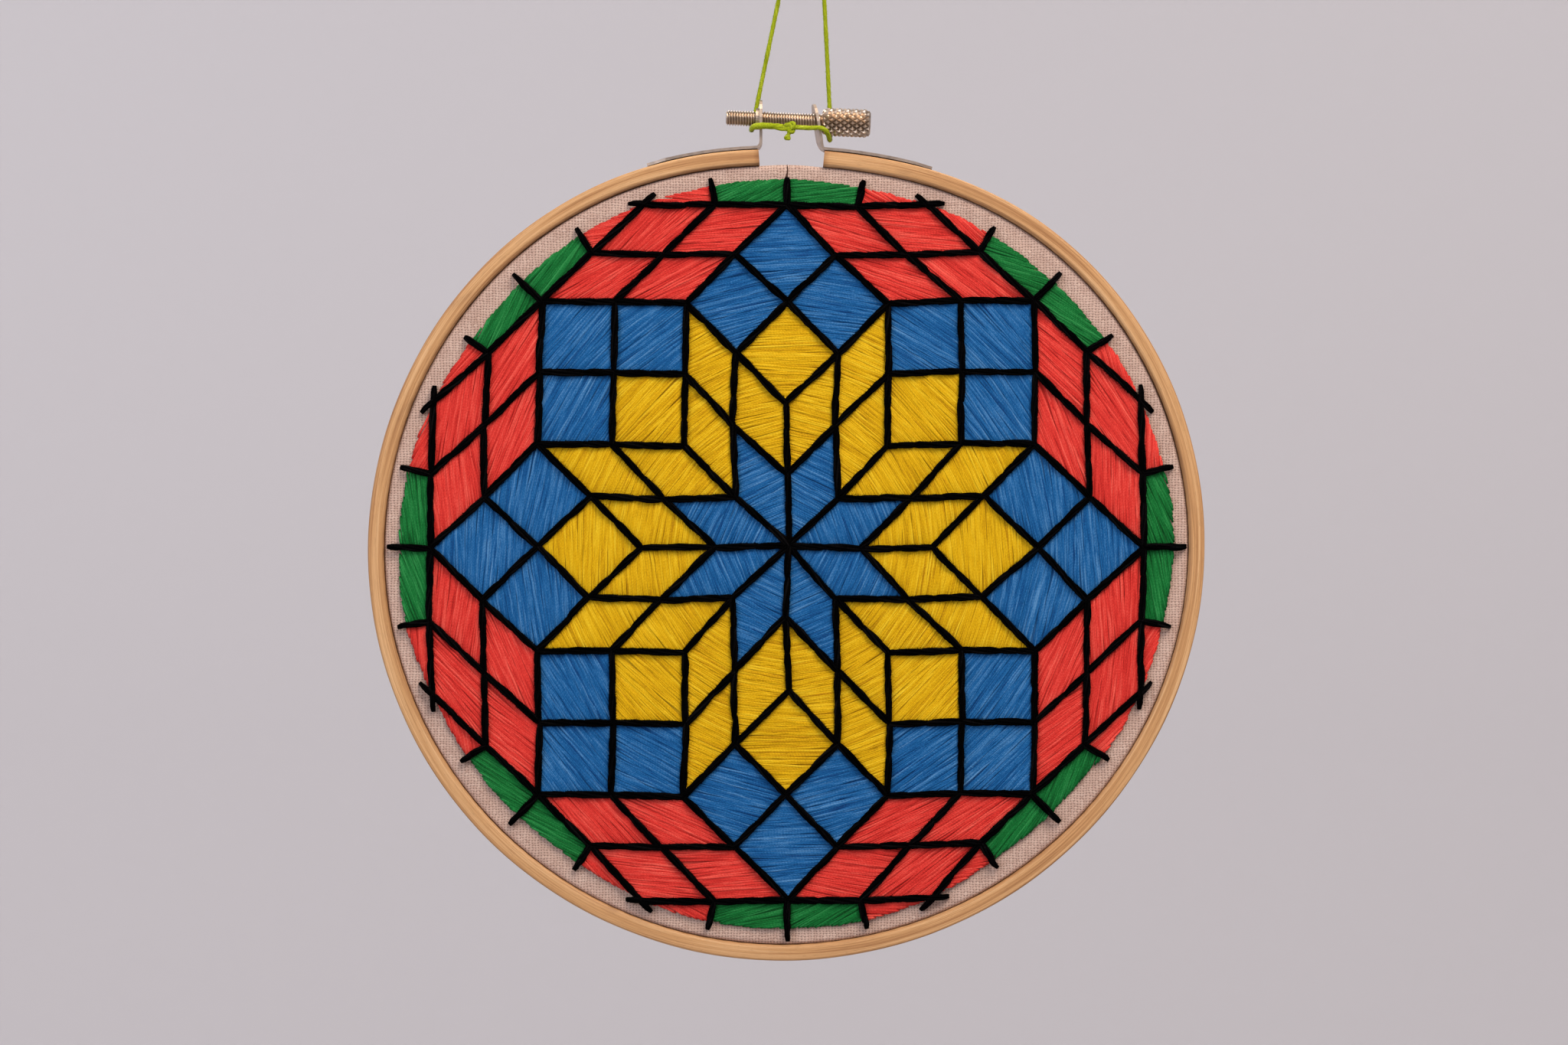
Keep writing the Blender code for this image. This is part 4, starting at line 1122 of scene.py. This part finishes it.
def build_ring(name, section, angles, closed, finish):
    inset, depth, how_worn_and_shaded = np.array(section).T[:, None, :]
    turns = np.radians(angles)[:, None]
    uneven = 0.05 * np.sin(turns * 9.0 + 1.0) + 0.04 * np.sin(turns * 23.0 + depth)
    nicks = 0.05 * how_worn_and_shaded * np.sin(turns * 131.0 + inset * 3.0)
    inset = inset + uneven * 0.6 + nicks
    reach = ring_radius(angles)[:, None] - inset
    points = np.stack([np.cos(turns) * reach, np.broadcast_to(depth, reach.shape) + nicks,
                       np.sin(turns) * reach], axis=-1)
    grain = np.stack([np.broadcast_to(turns * RING_RADIUS, reach.shape), inset,
                      np.broadcast_to(depth, reach.shape)], axis=-1)
    wear_and_shade = np.zeros(reach.shape + (3,))
    wear_and_shade[..., 0] = how_worn_and_shaded
    count = len(section)
    faces = [face[::-1] for face in grid_faces(len(angles), count, closed_rows=closed, closed_columns=True)]
    if not closed:
        from_end = np.minimum(angles - angles[0], angles[-1] - angles)
        wear_and_shade[..., 1] = np.exp(-from_end / 0.35)[:, None]
        first, last = end_faces(len(angles), count)
        faces += [first, last[::-1]]
    marks = {"grain": grain.reshape(-1, 3), "wear_and_shade": wear_and_shade.reshape(-1, 3)}
    piece = add_piece(name, points.reshape(-1, 3), faces, [finish], marks, smooth_angle=40.0)
    return piece


def build_hoops():
    outer = ring_section(0.0, RING_THICKNESS, RING_FRONT, RING_BACK, 0.55, 1.0, 0.6)
    angles = np.linspace(RING_LEFT_END, RING_RIGHT_END + 360.0, 421)
    ring = build_ring("beech_outer_ring", outer, angles, False, "outer")
    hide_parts("outer_hoop")
    inner = ring_section(INNER_INSET, INNER_THICKNESS, INNER_FRONT, RING_BACK, 0.6, 0.6, 0.6)
    angles = np.linspace(0.0, 360.0, 240, endpoint=False)
    ring = build_ring("beech_inner_ring", inner, angles, True, "inner")
    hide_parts("inner_hoop")


# Hardware

def along_screw(spots, reach, turns):
    """Points round the screw's axis: distances from its tip, radii and angles to hoop coordinates."""
    axis = np.array((math.cos(SCREW_FALL), 0.0, -math.sin(SCREW_FALL)))
    over = np.array((math.sin(SCREW_FALL), 0.0, math.cos(SCREW_FALL)))
    toward = np.array((0.0, -1.0, 0.0))
    start = np.array((SCREW_LEFT_X, SCREW_DEPTH, SCREW_LEFT_Z))
    turns = np.broadcast_to(turns, reach.shape)[..., None]
    rings = (over * np.cos(turns) + toward * np.sin(turns)) * reach[..., None]
    return (start + axis * spots[:, None, None] + rings).reshape(-1, 3)


def screw_shank(length):
    """Points, faces and painted crevice shade of the threaded shank, from its tip to the head: darker in the
    thread's roots.
    """
    step = THREAD_STEP / 8.0
    along = np.arange(0.0, length + step, step)
    turns = np.linspace(0.0, math.tau, SHANK_SIDES, endpoint=False)
    phase = (along[:, None] / THREAD_STEP - turns[None, :] / math.tau) % 1.0
    ridge = np.clip(np.abs(phase * 2.0 - 1.0) * 1.25 - 0.1, 0.0, 1.0)
    lead = np.clip(along / 0.5, 0.0, 1.0)[:, None]
    root = SHANK_RADIUS - THREAD_DEEP
    reach = root + THREAD_DEEP * ridge * (0.35 + 0.65 * lead) - 0.18 * (1.0 - lead)
    faces = grid_faces(len(along), SHANK_SIDES, closed_columns=True)
    faces.append(list(range(SHANK_SIDES))[::-1])
    return along_screw(along, reach, turns), faces, (1.0 - ridge).ravel().tolist()


def screw_head(start, end):
    """Points, faces and painted crevice shade of the head, whose knurl is rows of pyramids with their tips
    cut off.
    """
    columns = KNURL_AROUND * 2
    low = HEAD_RADIUS - KNURL_DEEP
    rows = np.linspace(start + KNURL_MARGIN, end - KNURL_MARGIN, KNURL_ROWS + 1)
    row_step = rows[1] - rows[0]
    points, painted_crevice_shades, faces = [], [], []

    def add_point(along, column, radius, painted_crevice_shade):
        points.append((along, radius, column * math.tau / columns))
        painted_crevice_shades.append(painted_crevice_shade)
        return len(points) - 1

    grid = {}
    for row in range(KNURL_ROWS + 1):
        for column in range(columns):
            if (row + column) % 2:
                grid[row, column] = add_point(rows[0] + row * row_step, column, low, 1.0)
            elif row in (0, KNURL_ROWS):
                grid[row, column] = add_point(rows[0] + row * row_step, column, low + KNURL_DEEP * 0.55, 0.3)
    for row in range(KNURL_ROWS + 1):
        for column in range(row % 2, columns, 2):
            left, right = grid[row, (column - 1) % columns], grid[row, (column + 1) % columns]
            before, after = grid.get((row - 1, column)), grid.get((row + 1, column))
            if row == 0:
                faces += [[left, grid[row, column], after], [grid[row, column], right, after]]
            elif row == KNURL_ROWS:
                faces += [[left, before, grid[row, column]], [grid[row, column], before, right]]
            else:
                foot = (before, right, after, left)
                top = [add_point(rows[0] + (row + along * KNURL_TOP) * row_step, column + aside * KNURL_TOP,
                                 HEAD_RADIUS, 0.0)
                       for along, aside in ((-1, 0), (0, 1), (1, 0), (0, -1))]
                faces.append(top)
                for (foot_left, top_left), (foot_right, top_right) in pairs_round(list(zip(foot, top))):
                    faces.append([foot_left, foot_right, top_right, top_left])
    for along, row in ((start, 0), (end, KNURL_ROWS)):
        ring = [add_point(along, column, low - 0.25, 0.2) for column in range(columns)]
        for column in range(columns):
            right = (column + 1) % columns
            face = [ring[column], ring[right], grid[row, right], grid[row, column]]
            faces.append(face if row == 0 else face[::-1])
        faces.append(ring[::-1] if row == 0 else ring)
    points = np.array(points)
    return along_screw(points[:, 0], points[:, 1:2], points[:, 2:]), faces, painted_crevice_shades


def build_screw():
    """The thumbscrew: a threaded shank and a knurled head, turning with its own body."""
    end, head = ((x - SCREW_LEFT_X) / math.cos(SCREW_FALL) for x in (HEAD_END_X, HEAD_START_X))
    points, faces, painted_crevice_shades = screw_shank(head)
    head_points, head_faces, head_painted_crevice_shades = screw_head(head, end)
    faces += [[corner + len(points) for corner in face] for face in head_faces]
    marks = np.zeros((len(points) + len(head_points), 3))
    marks[:, 0] = painted_crevice_shades + head_painted_crevice_shades
    screw = add_piece("knurled_screw", np.concatenate([points, head_points]), faces, ["screw"],
                      {"painted_crevice_shade": marks}, body="screw", smooth_angle=24.0)
    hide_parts("thumbscrew")


def dress_brackets():
    for name in ("bracket_left", "bracket_right"):
        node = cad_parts[name]
        node.data.materials.clear()
        node.data.materials.append(FINISHES["steel"])
        soften = node.modifiers.new("soft_edges", "BEVEL")
        soften.width = 0.14 * MM
        soften.segments = 2
        soften.limit_method = "ANGLE"
        soften.angle_limit = math.radians(35.0)
        soften.harden_normals = True


# Studio

# Each lamp's place, what it aims at (the hoop where None), size, power and colour.
LAMPS = {
    "key": ((0.5, -0.75, 0.85), None, 0.7, 13.0, (1.0, 0.88, 0.76)),
    "fill": ((-1.5, -1.4, 0.6), None, 1.4, 17.0, (0.88, 0.92, 1.0)),
    "top": ((0.3, -0.5, 1.5), None, 1.7, 13.0, (1.0, 0.82, 0.64)),
    "rear": ((-0.6, 1.7, 0.9), None, 1.2, 9.0, (1.0, 0.97, 0.94)),
    "wall_left": ((-0.9, 1.0, 0.9), (-0.9, 3.2, -0.2), 1.2, 15.0, (0.90, 0.92, 1.0)),
    "wall_right": ((0.9, 1.0, 1.3), (0.9, 3.2, 0.3), 1.2, 14.5, (1.0, 0.92, 0.86)),
}
SWEEP_PROFILE = [(0.001, -1.8), (1.5, -1.8), (2.2, -1.72), (2.8, -1.45), (3.15, -1.0), (3.3, -0.4),
                 (3.3, 2.9)]
SWEEP_STEPS = 96


def build_studio():
    """A pale round sweep under and about the object, and soft lights inside it."""
    points = []
    for radius, height in SWEEP_PROFILE:
        for step in range(SWEEP_STEPS):
            points.append((*(unit(360.0 * step / SWEEP_STEPS) * radius), height))
    data = bpy.data.meshes.new("sweep")
    data.from_pydata(points, [], grid_faces(len(SWEEP_PROFILE), SWEEP_STEPS, closed_columns=True))
    data.shade_smooth()
    pale = Finish("pale_sweep", 0.95, Base_Color=(0.70, 0.68, 0.70, 1.0), Specular_IOR_Level=0.1)
    data.materials.append(pale.material)
    sweep = add_object("sweep", data)

    world = bpy.data.worlds.new("studio_air")
    world.use_nodes = True
    air = world.node_tree.nodes["Background"].inputs
    air["Color"].default_value = (0.92, 0.94, 1.0, 1.0)
    air["Strength"].default_value = 0.28
    bpy.context.scene.world = world
    for name, (place, aim, size, power, colour) in LAMPS.items():
        data = bpy.data.lights.new(name, "AREA")
        data.shape = "DISK"
        data.size = size
        data.energy = power
        data.color = colour
        lamp = add_object(name, data)
        lamp.location = place
        aim = Vector(aim or settled((0.0, 0.0, 0.0)))
        lamp.rotation_euler = (aim - Vector(place)).to_track_quat("-Z", "Y").to_euler()
        lamp.visible_camera = False
    bpy.context.scene.view_settings.view_transform = "Standard"


def main():
    add_camera()
    build_cord()
    cells = star_cells()
    build_linen()
    build_hoops()
    build_satin(cells)
    build_outlines(cells)
    build_reverse(cells)
    build_screw()
    dress_brackets()
    build_studio()


main()
